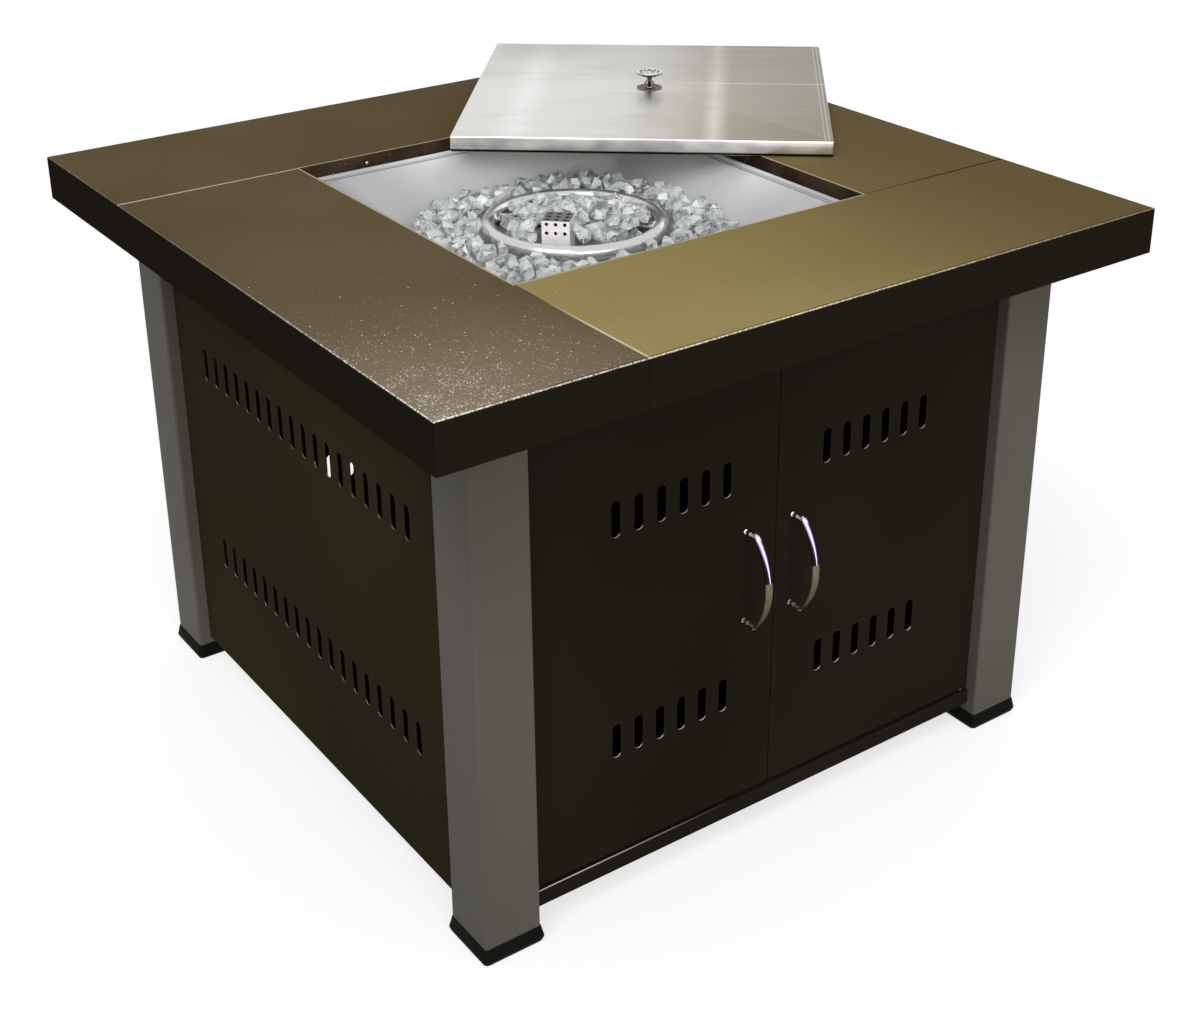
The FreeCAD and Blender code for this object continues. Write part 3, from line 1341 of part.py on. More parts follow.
def lid():
    """The flat stainless lid, as it lies askew on the top."""
    body = new_body("lid", s.lid_turn.value)
    move(body, (s.lid_x, s.lid_y, s.top_height))
    outline = new_sketch(body, "XY_Plane")
    square(outline, s.lid_side / 2)
    pad(body, outline, s.lid_skirt)

    def upper_edge(point):
        on_side = near(abs(point.x), s.lid_side / 2) or near(abs(point.y), s.lid_side / 2)
        return near(point.z, s.lid_skirt) and on_side

    round_edges(body, s.lid_edge_radius, upper_edge)
    hollow = new_sketch(body, "XY_Plane")
    square(hollow, s.lid_side / 2 - s.lid_gauge)
    pocket(body, hollow, s.lid_skirt - s.lid_gauge, backwards=True)
    hole = new_sketch(body, "XY_Plane", s.lid_skirt)
    circle(hole, (0, 0), screw_hole)
    pocket(body, hole, s.lid_gauge * 2)


def lid_knob():
    """The openwork lid knob, its round plate and its screw."""
    plate_level = s.top_height + s.lid_skirt
    foot_level = plate_level + s.plate_height
    spot = (s.lid_x, s.lid_y, plate_level)
    plate = rod(spot, "up", s.plate_radius, s.plate_height)
    keep("knob_plate", cut(plate, [rod(spot, "up", screw_hole, s.plate_height)]))
    body = new_body("lid_knob", s.lid_turn.value)
    move(body, (s.lid_x, s.lid_y, foot_level))
    profile = new_sketch(body, "XZ_Plane")
    rim_low = s.grip_height - s.grip_rim
    polygon(profile, [(0, 0), (s.grip_foot_radius, 0), (s.grip_foot_radius, s.grip_foot_edge),
                      (s.grip_stem_radius, s.grip_foot_height),
                      (s.grip_stem_radius, s.grip_height - s.grip_stem_drop),
                      (s.grip_neck_radius, s.grip_height - s.grip_neck_drop),
                      (s.grip_radius, rim_low), (s.grip_radius, s.grip_height),
                      (s.grip_radius - s.grip_rim_wall, s.grip_height),
                      (s.grip_dish_radius, s.grip_height - s.grip_dish),
                      (0, s.grip_height - s.grip_dish)])
    turned_shape = body.newObject("PartDesign::Revolution", "knob_turned")
    turned_shape.Profile = profile
    turned_shape.ReferenceAxis = (profile, ["V_Axis"])
    body.Tip = turned_shape
    opening = new_sketch(body, "XY_Plane", s.grip_height)
    circle(opening, (s.grip_hole_circle, 0), s.grip_hole_radius)
    cut_opening = pocket(body, opening, s.grip_neck_drop + s.grip_rim)
    around = body.newObject("PartDesign::PolarPattern", "knob_openings")
    around.Originals = [cut_opening]
    around.Axis = (opening, ["N_Axis"])
    around.Angle = 360
    bind(around, "Occurrences", s.grip_hole_count)
    body.Tip = around
    thread = new_sketch(body, "XY_Plane")
    circle(thread, (0, 0), screw_hole)
    pocket(body, thread, s.grip_thread_depth + s.fit_gap, backwards=True)
    under = (s.lid_x, s.lid_y, plate_level - s.lid_gauge)
    keep("knob_screw", screw(under, "up", s.lid_gauge + s.plate_height + s.grip_thread_depth))


def build():
    """Make every sub-part."""
    for name, turn in QUARTERS.items():
        top_panel("top_panel_" + name, turn)
        upper_rail("upper_rail_" + name, turn)
    stud_nuts()
    corners = {"front_left": (False, True), "front_right": (True, False),
               "back_right": (True, True), "back_left": (True, True)}
    for turn, (name, sides) in enumerate(corners.items()):
        leg("leg_" + name, 90 * turn, sides)
        foot("foot_" + name, 90 * turn)
    for name in ("left", "right", "back"):
        side_panel(name + "_panel", QUARTERS[name])
    base_shelf()
    for side, place in ((-1, s.handle_left_place), (1, s.handle_right_place)):
        door(side, place)
        handle(side, place)
        handle_screws(side, place)
        strike_plate(side)
    hinge_pins()
    magnetic_catches()
    rail_screws()
    panel_screws()
    tray_ledge()
    burner_tray()
    burner_ring()
    lock_nut()
    air_mixer()
    gas_tube()
    control_bracket()
    gas_valve()
    inlet_fitting()
    valve_stem()
    control_knob()
    igniter()
    igniter_cover()
    probes()
    fire_glass()
    lid()
    lid_knob()


def export():
    """Check every object, then write each sub-part to its own file."""
    document.recompute()
    for thing in document.Objects:
        if "Invalid" in thing.State or "Error" in thing.State:
            raise RuntimeError(f"{thing.Label} failed: {thing.State}")
    for piece in pieces:
        if piece.Shape.isNull() or not piece.Shape.isValid() or not piece.Shape.Solids:
            raise RuntimeError(f"{piece.Label} has no valid shape")
    os.makedirs("parts", exist_ok=True)
    for piece in pieces:
        solids = piece.Shape.Solids
        shape = solids[0] if len(solids) == 1 else Part.makeCompound(solids)
        shape.exportStep(f"parts/{piece.Label}.step")
        print(f"{piece.Label}: {len(solids)} solid(s), {shape.Volume / 1000:.1f} cm3")


build()
export()
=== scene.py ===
"""Looks of the square gas fire pit table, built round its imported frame, in metres."""

import math
import random

import bmesh
import bpy
from mathutils import Matrix, Vector


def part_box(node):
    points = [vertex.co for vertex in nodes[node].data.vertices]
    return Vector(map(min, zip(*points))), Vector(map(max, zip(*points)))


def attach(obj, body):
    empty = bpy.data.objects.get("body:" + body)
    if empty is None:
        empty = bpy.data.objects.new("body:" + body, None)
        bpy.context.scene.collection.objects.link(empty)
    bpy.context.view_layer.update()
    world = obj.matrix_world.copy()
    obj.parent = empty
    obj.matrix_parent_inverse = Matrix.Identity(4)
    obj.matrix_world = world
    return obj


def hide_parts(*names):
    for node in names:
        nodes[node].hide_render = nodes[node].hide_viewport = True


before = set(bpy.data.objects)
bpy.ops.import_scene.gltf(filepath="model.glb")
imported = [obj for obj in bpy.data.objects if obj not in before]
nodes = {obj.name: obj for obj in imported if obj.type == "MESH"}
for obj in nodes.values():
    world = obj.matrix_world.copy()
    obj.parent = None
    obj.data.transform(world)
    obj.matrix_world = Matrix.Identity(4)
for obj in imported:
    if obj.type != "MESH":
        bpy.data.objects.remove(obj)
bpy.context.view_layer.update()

MM = 0.001
TOP = 0.703
HALF_TOP = 0.4825
HALF_OPENING = 0.246
WALL_FACE = 0.391
WALL_SHEET = 0.0015
TRAY_RIM = 0.685
TRAY_FLOOR = 0.631
TRAY_FLOOR_HALF = 0.165
TRAY_SLOPE_HALF = 0.2268
RING_RADIUS = 0.1065
RING_TUBE = 0.0095
RING_LEVEL = 0.6485
ARM_TUBE = 0.008
COVER_PLACE = (-0.051, -0.040)
COVER_REACH = 0.0240
HOLE_PITCH = 0.011
LID_PLACE = (0.283, 0.226)
LID_TURN = math.radians(-39.5)
LID_TOP = 0.724
SHELF_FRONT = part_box("base_shelf")[0].y
HANDLE_LEVEL = 0.352
HANDLE_PLACES = (("left", -0.044), ("right", 0.024))
SCREW_LEVEL = 0.6925
SCREW_PLACES = (-0.152, 0.152)
F_CORNER = (-HALF_TOP, -HALF_TOP, TOP)

COVER_INSIDE = 0.0166
HEAP_RADIUS = 0.198
HEAP_HALF = 0.186
HEAP_DROPS = 16000
CHUNK_LEAST = 0.0092
CHUNK_SPREAD = 0.0128
CHUNK_OVERLAP = 0.78
AHEAD = (0.564, 0.826)

SHARP_ANGLE = math.radians(35)
# Radius of the edge mask: edges are lightened for wear and as a painted edge highlight.
WEAR_AND_HIGHLIGHT_EDGE = 0.0012
FINE_EDGE = 0.0006
COAT_GRAIN = 1100.0
COAT_DEPTH = 0.00012
STREAK_DEPTH = 0.00002
MARK_DEPTH = 0.00004


def linear(code):
    """A linear colour from a hexadecimal sRGB code."""
    parts = [int(code[index:index + 2], 16) / 255 for index in (0, 2, 4)]
    return tuple([p / 12.92 if p <= 0.04045 else ((p + 0.055) / 1.055) ** 2.4 for p in parts] + [1])


class Look:
    """A node material round one Principled shader."""

    def __init__(self, name, **sockets):
        self.material = bpy.data.materials.new(name)
        self.material.use_nodes = True
        self.tree = self.material.node_tree
        self.shader = self.tree.nodes["Principled BSDF"]
        for socket, value in sockets.items():
            self.shader.inputs[socket.replace("_", " ")].default_value = value
        self.place = self.add("ShaderNodeTexCoord").outputs["Object"]

    def add(self, kind, **values):
        """A node with its inputs set or linked, and its properties set."""
        node = self.tree.nodes.new(kind)
        for name, value in values.items():
            key = name.replace("_", " ")
            socket = node.inputs.get(key) or node.inputs.get(key.title())
            if socket is None:
                setattr(node, name, value)
            elif isinstance(value, bpy.types.NodeSocket):
                self.tree.links.new(value, socket)
            else:
                socket.default_value = value
        return node

    def link(self, output, socket):
        """Link an output to a socket of the shader."""
        self.tree.links.new(output, self.shader.inputs[socket])

    def maths(self, operation, first, second=0.0, third=None):
        """A Math node on sockets or numbers."""
        node = self.tree.nodes.new("ShaderNodeMath")
        node.operation = operation
        values = (first, second) if third is None else (first, second, third)
        for socket, value in zip(node.inputs, values):
            if isinstance(value, bpy.types.NodeSocket):
                self.tree.links.new(value, socket)
            else:
                socket.default_value = value
        return node.outputs[0]

    def ramp(self, value, low, high, low_out=0.0, high_out=1.0):
        """Map a value smoothly from one range to another."""
        node = self.add("ShaderNodeMapRange", Value=value, From_Min=low, From_Max=high,
                        To_Min=low_out, To_Max=high_out)
        node.interpolation_type = "SMOOTHSTEP"
        return node.outputs[0]

    def ramp_straight(self, value, low, high):
        """Map a value from one range to 0 to 1, without easing."""
        return self.add("ShaderNodeMapRange", Value=value, From_Min=low, From_Max=high).outputs[0]

    def stretch(self, scale):
        """The object's coordinates, stretched."""
        return self.add("ShaderNodeMapping", Vector=self.place, Scale=scale).outputs[0]

    def noise(self, scale, detail=2.0, vector=None):
        """A noise value between 0 and 1."""
        return self.add("ShaderNodeTexNoise", Vector=vector or self.place, Scale=scale,
                        Detail=detail).outputs[0]

    def blend(self, share, first, second, mode="MIX"):
        """A colour between two colours or sockets."""
        node = self.tree.nodes.new("ShaderNodeMix")
        node.data_type = "RGBA"
        node.blend_type = mode
        for index, value in ((0, share), (6, first), (7, second)):
            if isinstance(value, bpy.types.NodeSocket):
                self.tree.links.new(value, node.inputs[index])
            else:
                node.inputs[index].default_value = value
        return node.outputs[2]

    def edges(self, radius):
        """Where a surface turns at an edge: 0 on flats and rising to 1."""
        rounded = self.add("ShaderNodeBevel", Radius=radius, samples=4).outputs[0]
        flat = self.add("ShaderNodeNewGeometry").outputs["Normal"]
        node = self.add("ShaderNodeVectorMath", operation="DOT_PRODUCT")
        self.tree.links.new(rounded, node.inputs[0])
        self.tree.links.new(flat, node.inputs[1])
        return self.ramp(node.outputs["Value"], 0.995, 0.85), rounded

    def bump(self, height, depth, strength=1.0, normal=None):
        """Bump the shader's surface by a height."""
        node = self.add("ShaderNodeBump", Height=height, Distance=depth, Strength=strength)
        if normal is not None:
            self.tree.links.new(normal, node.inputs["Normal"])
        self.link(node.outputs[0], "Normal")

    def close_to(self, centre, reach):
        """1 at a place and 0 from a distance on."""
        apart = self.add("ShaderNodeVectorMath", operation="DISTANCE")
        self.tree.links.new(self.place, apart.inputs[0])
        apart.inputs[1].default_value = centre
        return self.ramp(apart.outputs["Value"], reach, 0.0)

    def axes(self):
        """The object's X, Y and Z as three values."""
        return self.add("ShaderNodeSeparateXYZ", Vector=self.place).outputs

    def band(self, value, centre, half):
        """1 where a value lies in a narrow band."""
        off = self.maths("ABSOLUTE", self.maths("SUBTRACT", value, centre))
        return self.ramp(off, half * 1.25, half * 0.75)

    def above(self, value, level):
        """1 where a value is above a level."""
        return self.maths("GREATER_THAN", value, level)

    def both(self, *values):
        """The product of several values."""
        total = values[0]
        for value in values[1:]:
            total = self.maths("MULTIPLY", total, value)
        return total

    def dots(self, scale, size, dense):
        """Scattered round dots; dense is the share of cells that has one."""
        cells = self.add("ShaderNodeTexVoronoi", Vector=self.place, Scale=scale)
        chance = self.add("ShaderNodeSeparateColor", Color=cells.outputs["Color"]).outputs[0]
        within = self.ramp(cells.outputs["Distance"], size * 1.3, size * 0.6)
        return self.both(within, self.maths("LESS_THAN", chance, dense))

    def facing_up(self):
        """1 where a surface faces up and 0 where it is upright."""
        normal = self.add("ShaderNodeNewGeometry").outputs["Normal"]
        level = self.add("ShaderNodeSeparateXYZ", Vector=normal).outputs[2]
        return self.ramp(level, 0.25, 0.85)


def coat(name, colour, shade, wear_and_highlight_tone, roughness, specular=0.0, lit=None, lit_near=None,
         lit_front=None):
    """A powder coat: a textured satin film, lighter at its edges from wear and a painted edge
    highlight.

    lit is the colour of a painted highlight on small faces turned up, lit_near a (place, reach)
    that they keep to, and lit_front a Y that they lie before.
    """
    look = Look(name, Specular_IOR_Level=specular)
    drift = look.noise(2.2, 2.0)
    base = look.blend(look.ramp(drift, 0.38, 0.62), linear(shade), linear(colour))
    # Painted highlight: faces turned up, such as slot lips and ledges, take the lit colour.
    if lit:
        share = look.facing_up()
        if lit_near:
            share = look.both(share, look.close_to(*lit_near))
        if lit_front is not None:
            share = look.both(share, look.ramp(look.axes()[1], lit_front + 0.0004, lit_front))
        base = look.blend(share, base, linear(lit))
    fine = look.noise(COAT_GRAIN, 2.0)
    base = look.blend(look.ramp(fine, 0.35, 0.75, 0.0, 0.3), base, linear(shade))
    # Edges lighter from wear and a painted edge highlight.
    edge_wear_and_highlight, rounded = look.edges(WEAR_AND_HIGHLIGHT_EDGE)
    base = look.blend(look.maths("MULTIPLY", edge_wear_and_highlight, 0.6), base, linear(wear_and_highlight_tone))
    look.link(base, "Base Color")
    look.link(look.ramp(fine, 0.2, 0.8, roughness - 0.06, roughness + 0.08), "Roughness")
    look.bump(fine, COAT_DEPTH, 1.0, rounded)
    return look.material


def top_coat(name, colour, shade, near=None, along=None, flake_glints=0.0, seams=()):
    """The table top's satin bronze coat, with painted glints of metal flake, seam lines, and
    painted edge lines of highlight and shade; metallic where level, and painted dark as shade where
    upright.

    near is a (place, reach, colour) of a painted sheen that the tone drifts to, along a (start,
    end, colour) down X for painted shade as that sheen falls off, and seams are (axis, place, side,
    colour, inner share): a line at a place of one axis, on one side of the opening, with its
    strength next to the opening; pale seam lines are painted highlights, dark ones dark joints.
    """
    look = Look(name, Specular_IOR_Level=0.0, Specular_Tint=linear("8a7a58"))
    x, y, _ = look.axes()
    level = look.facing_up()
    drift = look.noise(2.2, 2.0)
    base = look.blend(look.ramp(drift, 0.38, 0.62), linear(shade), linear(colour))
    if along:
        base = look.blend(look.ramp(x, along[0], along[1]), base, linear(along[2]))
    if near:
        base = look.blend(look.close_to(near[0], near[1]), base, linear(near[2]))
    fine = look.noise(COAT_GRAIN, 2.0)
    base = look.blend(look.ramp(fine, 0.35, 0.75, 0.0, 0.22), base, linear("2a241a"))
    # Painted glints: white flecks of metal flake, densest at the front-left corner where the sheen
    # falls.
    if flake_glints:
        patchy = look.ramp(look.noise(30.0, 3.0), 0.40, 0.62, 0.25, 1.3)
        wide = look.maths("MULTIPLY", look.close_to(F_CORNER, 0.42), 0.06)
        middle = look.maths("MULTIPLY", look.close_to(F_CORNER, 0.26), 0.20)
        tight = look.maths("MULTIPLY", look.close_to(F_CORNER, 0.12), 0.6)
        dense = look.maths("ADD", look.maths("ADD", wide, middle), tight)
        shown = look.dots(330.0, 0.26, look.both(dense, patchy, flake_glints, 0.7))
        base = look.blend(shown, base, linear("ffffff"))
        shown = look.dots(640.0, 0.32, look.both(dense, patchy, flake_glints, 1.5))
        base = look.blend(look.maths("MULTIPLY", shown, 0.8), base, linear("fffaf0"))
    # Seam lines: the pale ones are painted highlights on the panel edges, the dark ones dark
    # joints.
    for axis, place, side, tone, inner_share in seams:
        across, along_line = (x, y) if axis == 0 else (y, x)
        reach = look.maths("MULTIPLY", along_line, side)
        share = look.both(look.band(across, place, 0.0012), look.above(reach, HALF_OPENING))
        fade = look.ramp(reach, 0.28, 0.40, inner_share, 1.0)
        base = look.blend(look.both(share, fade), base, linear(tone))
    reach = look.maths("MAXIMUM", look.maths("ABSOLUTE", x), look.maths("ABSOLUTE", y))
    # Painted highlight: a pale line along the opening's edge.
    inner = look.band(reach, HALF_OPENING + 0.0012, 0.0012)
    base = look.blend(look.maths("MULTIPLY", inner, 0.7), base, linear("d6c4a6"))
    # Painted highlight: a pale, broken line along the outer edge, strongest at the front-left
    # corner and along the front.
    sparkle = look.ramp(look.noise(420.0, 2.0), 0.42, 0.60, 0.05, 1.0)
    left_fade = look.maths("MULTIPLY", look.close_to(F_CORNER, 0.60), 0.95)
    front_fade = look.both(look.ramp(y, -HALF_TOP + 0.01, -HALF_TOP),
                           look.ramp(x, 0.45, -0.2, 0.2, 0.75))
    strength = look.maths("MAXIMUM", look.maths("MAXIMUM", left_fade, front_fade), 0.10)
    rim = look.both(look.band(reach, HALF_TOP - 0.0006, 0.0009), strength, sparkle)
    base = look.blend(rim, base, linear("fffaf0"))
    # Painted shade: a dark line behind the rounded front edge.
    front_edge_shade = look.both(look.band(y, -HALF_TOP + 0.0030, 0.0007), look.above(x, -0.36))
    base = look.blend(look.maths("MULTIPLY", front_edge_shade, 0.8), base, linear("2c2416"))
    # Upright faces painted as shade: near black on the apron, a speckled brown on the opening's
    # inner wall.
    wall = look.ramp(reach, HALF_OPENING + 0.006, HALF_OPENING + 0.003)
    speckle = look.both(look.dots(330.0, 0.3, 0.1), look.ramp(look.noise(25.0), 0.5, 0.7))
    brown = look.blend(look.ramp(look.noise(14.0, 3.0), 0.35, 0.7), linear("473b2e"),
                       linear("30271d"))
    brown = look.blend(look.maths("MULTIPLY", speckle, 0.7), brown, linear("c9bca8"))
    upright = look.blend(wall, linear("1e1a14"), brown)
    upright = look.blend(look.ramp(fine, 0.35, 0.75, 0.0, 0.3), upright, linear("0e0b07"))
    # Level faces take the top's colours; upright faces take the painted shade.
    base = look.blend(level, upright, base)
    look.link(base, "Base Color")
    look.link(look.maths("MULTIPLY", level, 0.35), "Metallic")
    look.link(look.ramp(fine, 0.2, 0.8, 0.36, 0.5), "Roughness")
    look.bump(fine, COAT_DEPTH, 1.0, look.edges(WEAR_AND_HIGHLIGHT_EDGE)[1])
    return look.material


def brushed(name, colour, shade, roughness, metallic, contrast, stretch, grooves=(), tray_light_and_shade=False,
            inner_darker=False):
    """Brushed metal: fine streaks along X, lighter at its edges from wear and a painted edge
    highlight;
    grooves are distances from the middle, where dark lines are painted as shade.

    For the tray it paints shade on the left side and painted light under the lid; for the ring it
    darkens the ring's inner side and the cross tube.
    """
    look = Look(name, Metallic=metallic)
    streaks = look.noise(1.0, 3.0, look.stretch(stretch))
    broad = look.noise(1.0, 2.0, look.stretch(tuple(a / 9 for a in stretch)))
    cloud = look.noise(5.0, 2.0)
    base = look.blend(look.ramp(cloud, 0.35, 0.7, 0.0, 0.5), linear(colour), linear(shade))
    dark = look.blend(0.22, base, linear("4c4a46"))
    base = look.blend(look.ramp(streaks, 0.35, 0.7, 0.0, contrast), base, dark)
    base = look.blend(look.ramp(broad, 0.45, 0.7, 0.0, contrast * 0.8), base, dark)
    # Edges lighter from wear and a painted edge highlight.
    edge_wear_and_highlight, rounded = look.edges(WEAR_AND_HIGHLIGHT_EDGE)
    base = look.blend(look.maths("MULTIPLY", edge_wear_and_highlight, 0.8), base, linear("f8f6f2"))
    x, y, _ = look.axes()
    reach = look.maths("MAXIMUM", look.maths("ABSOLUTE", x), look.maths("ABSOLUTE", y))
    # Painted shade on the tray's left side, and painted light on the part under the lid.
    if tray_light_and_shade:
        base = look.blend(look.ramp(look.maths("SUBTRACT", x, y), -0.04, -0.34, 0.0, 0.6), base,
                          linear("a4a5a4"))
        base = look.blend(look.ramp(look.maths("ADD", x, y), 0.05, 0.25, 0.0, 0.8), base,
                          linear("ffffff"))
    # Darker on the ring's inner side and on the cross tube.
    if inner_darker:
        apart = look.maths("SQRT", look.maths("ADD", look.both(x, x), look.both(y, y)))
        inner = look.ramp(apart, RING_RADIUS - 0.8 * RING_TUBE, RING_RADIUS - 1.1 * RING_TUBE)
        base = look.blend(look.maths("MULTIPLY", inner, 0.8), base, linear("34342f"))
    # Painted shade: dark lines along the tray rim's grooves.
    for groove in grooves:
        base = look.blend(look.maths("MULTIPLY", look.band(reach, groove, 0.0007), 0.85), base,
                          linear("3c3b3e"))
    look.link(base, "Base Color")
    look.link(look.ramp(streaks, 0.2, 0.8, roughness - 0.06, roughness + 0.1), "Roughness")
    look.bump(streaks, STREAK_DEPTH, 1.0, rounded)
    return look.material


def lid_steel(name):
    """The lid's brushed stainless: streaks along its front edge, broad soft stripes of painted
    reflection across the top, painted reflection patches on the front skirt, painted shade towards
    the back and along the skirt's foot, and painted highlights on the pressed line and the edges.
    """
    look = Look(name, Metallic=1.0)
    x, y, z = look.axes()
    level = look.facing_up()
    # Painted reflections: broad stripes of tone across the top, from left to right.
    reflection_bands = look.add("ShaderNodeValToRGB", Fac=look.ramp_straight(x, -0.243, 0.243))
    stops = reflection_bands.color_ramp.elements
    for place, tone in ((0.0, "dcdcd8"), (0.10, "e0e0dd"), (0.16, "eeeeec"), (0.22, "dededb"),
                        (0.42, "d8d7d1"), (0.56, "c8c5bc"), (0.655, "b2aea1"), (0.69, "d8d6cc"),
                        (0.73, "a09b88"), (0.90, "8c8672"), (1.0, "868069")):
        stop = stops.new(place) if 0 < place < 1 else stops[0 if place == 0 else -1]
        stop.color = linear(tone)
    cloud = look.noise(1.0, 2.0, look.stretch((7.0, 12.0, 12.0)))
    base = look.blend(look.ramp(cloud, 0.4, 0.7, 0.0, 0.22), reflection_bands.outputs[0], linear("8f8b80"))
    # Painted reflections: soft patches on the front skirt; the other skirt faces keep one plain
    # tone.
    skirt_reflection_noise = look.noise(1.0, 2.0, look.stretch((16.0, 16.0, 30.0)))
    side = look.blend(look.ramp(skirt_reflection_noise, 0.38, 0.62), linear("f8f7f0"), linear("cecacc"))
    side = look.blend(look.ramp(y, -0.2395, -0.2415), linear("c9c7c2"), side)
    # Painted shade: darker towards the back and the back-right corner.
    base = look.blend(look.ramp(y, -0.02, 0.24, 0.0, 0.3), base, linear("8f8b80"))
    back_shade = look.both(look.ramp(y, -0.10, 0.22), look.ramp(x, -0.02, 0.14))
    base = look.blend(look.maths("MULTIPLY", back_shade, 0.35), base, linear("6a665c"))
    base = look.blend(level, side, base)
    streaks = look.noise(1.0, 3.0, look.stretch((3.0, 800.0, 800.0)))
    broad = look.noise(1.0, 2.0, look.stretch((1.2, 110.0, 110.0)))
    dark = look.blend(0.25, base, linear("55524c"))
    base = look.blend(look.ramp(streaks, 0.35, 0.7, 0.0, 0.3), base, dark)
    base = look.blend(look.ramp(broad, 0.5, 0.68, 0.0, 0.3), base, dark)
    # A pale line from the knob towards the right end.
    knob_side_line = look.both(look.band(y, 0.026, 0.0009), look.ramp(x, 0.03, 0.07))
    base = look.blend(look.maths("MULTIPLY", knob_side_line, 0.8), base, linear("f2f0ea"))
    # Painted highlights: two pale lines along the pressed line at the right end.
    for place, share in ((0.2375, 0.45), (0.2325, 0.3)):
        base = look.blend(look.maths("MULTIPLY", look.band(x, place, 0.0006), share), base,
                          linear("f4f2ee"))
    # Painted shade: a dark line along the foot of the skirt.
    low = look.ramp_straight(z, 0.0044, 0.0030)
    base = look.blend(look.both(low, look.maths("SUBTRACT", 1.0, level)), base, linear("14120f"))
    # Edges lighter from wear and a painted edge highlight.
    edge_wear_and_highlight, rounded = look.edges(0.0016)
    base = look.blend(look.maths("MULTIPLY", edge_wear_and_highlight, 0.9), base, linear("ffffff"))
    look.link(base, "Base Color")
    look.link(look.ramp(streaks, 0.2, 0.8, 0.26, 0.4), "Roughness")
    look.bump(streaks, STREAK_DEPTH, 1.0, rounded)
    return look.material


def polished(name, colour, shade, roughness):
    """Plated or cast metal with faint unevenness and handling marks."""
    look = Look(name, Metallic=1.0)
    marks = look.noise(60.0, 4.0)
    look.link(look.blend(look.ramp(marks, 0.35, 0.7), linear(colour), linear(shade)), "Base Color")
    look.link(look.ramp(marks, 0.3, 0.75, roughness, roughness + 0.12), "Roughness")
    _, rounded = look.edges(FINE_EDGE)
    look.bump(marks, 0.00006, 0.5, rounded)
    return look.material


def moulded(name, colour, shade, roughness):
    """Moulded plastic or rubber with a fine grain."""
    look = Look(name, Specular_IOR_Level=0.02)
    fine = look.noise(1500.0, 2.0)
    drift = look.noise(12.0, 3.0)
    base = look.blend(look.ramp(drift, 0.35, 0.7), linear(colour), linear(shade))
    # Edges lighter from wear and a painted edge highlight.
    edge_wear_and_highlight, rounded = look.edges(WEAR_AND_HIGHLIGHT_EDGE)
    base = look.blend(look.maths("MULTIPLY", edge_wear_and_highlight, 0.5), base, linear("55524c"))
    look.link(base, "Base Color")
    look.link(look.ramp(fine, 0.2, 0.8, roughness - 0.08, roughness + 0.08), "Roughness")
    look.bump(fine, 0.00008, 1.0, rounded)
    return look.material


def clear_glass(name):
    """Clear broken glass, faintly green: varied facets, some painted darker as shade, milky bloom,
    dark lines, and painted white highlights along the facet edges.
    """
    look = Look(name, IOR=1.5)
    ripple = look.noise(140.0, 3.0)
    bloom = look.noise(55.0, 3.0)
    # Dark lines across the glass.
    line_cells = look.add("ShaderNodeTexVoronoi", feature="DISTANCE_TO_EDGE", Vector=look.place,
                      Scale=150.0).outputs["Distance"]
    dark_lines = look.both(look.ramp(line_cells, 0.06, 0.01), look.ramp(look.noise(60.0, 2.0), 0.5, 0.6))
    base = look.blend(look.ramp(bloom, 0.35, 0.65), linear("ffffff"), linear("eef6f2"))
    facing = look.add("ShaderNodeNewGeometry").outputs["True Normal"]
    facet = look.noise(2.6, 1.0, facing)
    # Painted shade: some facets darker, picked by the way they face.
    shaded = look.noise(3.7, 1.0, look.add("ShaderNodeMapping", Vector=facing,
                                           Location=(3.0, 5.0, 2.0)).outputs[0])
    base = look.blend(look.ramp(shaded, 0.52, 0.62, 0.0, 0.4), base, linear("98a39f"))
    base = look.blend(look.maths("MULTIPLY", dark_lines, 0.75), base, linear("3e4442"))
    # Painted highlight: white lines along the facet edges, where the glass is also less clear.
    rim, _ = look.edges(0.0009)
    base = look.blend(look.maths("MULTIPLY", rim, 0.8), base, linear("ffffff"))
    look.link(base, "Base Color")
    clear = look.maths("MINIMUM", look.ramp(bloom, 0.42, 0.60, 0.95, 0.40),
                       look.ramp(facet, 0.46, 0.56, 0.95, 0.35))
    clear = look.maths("SUBTRACT", clear, look.maths("MULTIPLY", rim, 0.35))
    look.link(clear, "Transmission Weight")
    look.link(look.ramp(ripple, 0.4, 0.7, 0.0, 0.08), "Roughness")
    look.bump(ripple, 0.0012, 0.8)
    return look.material


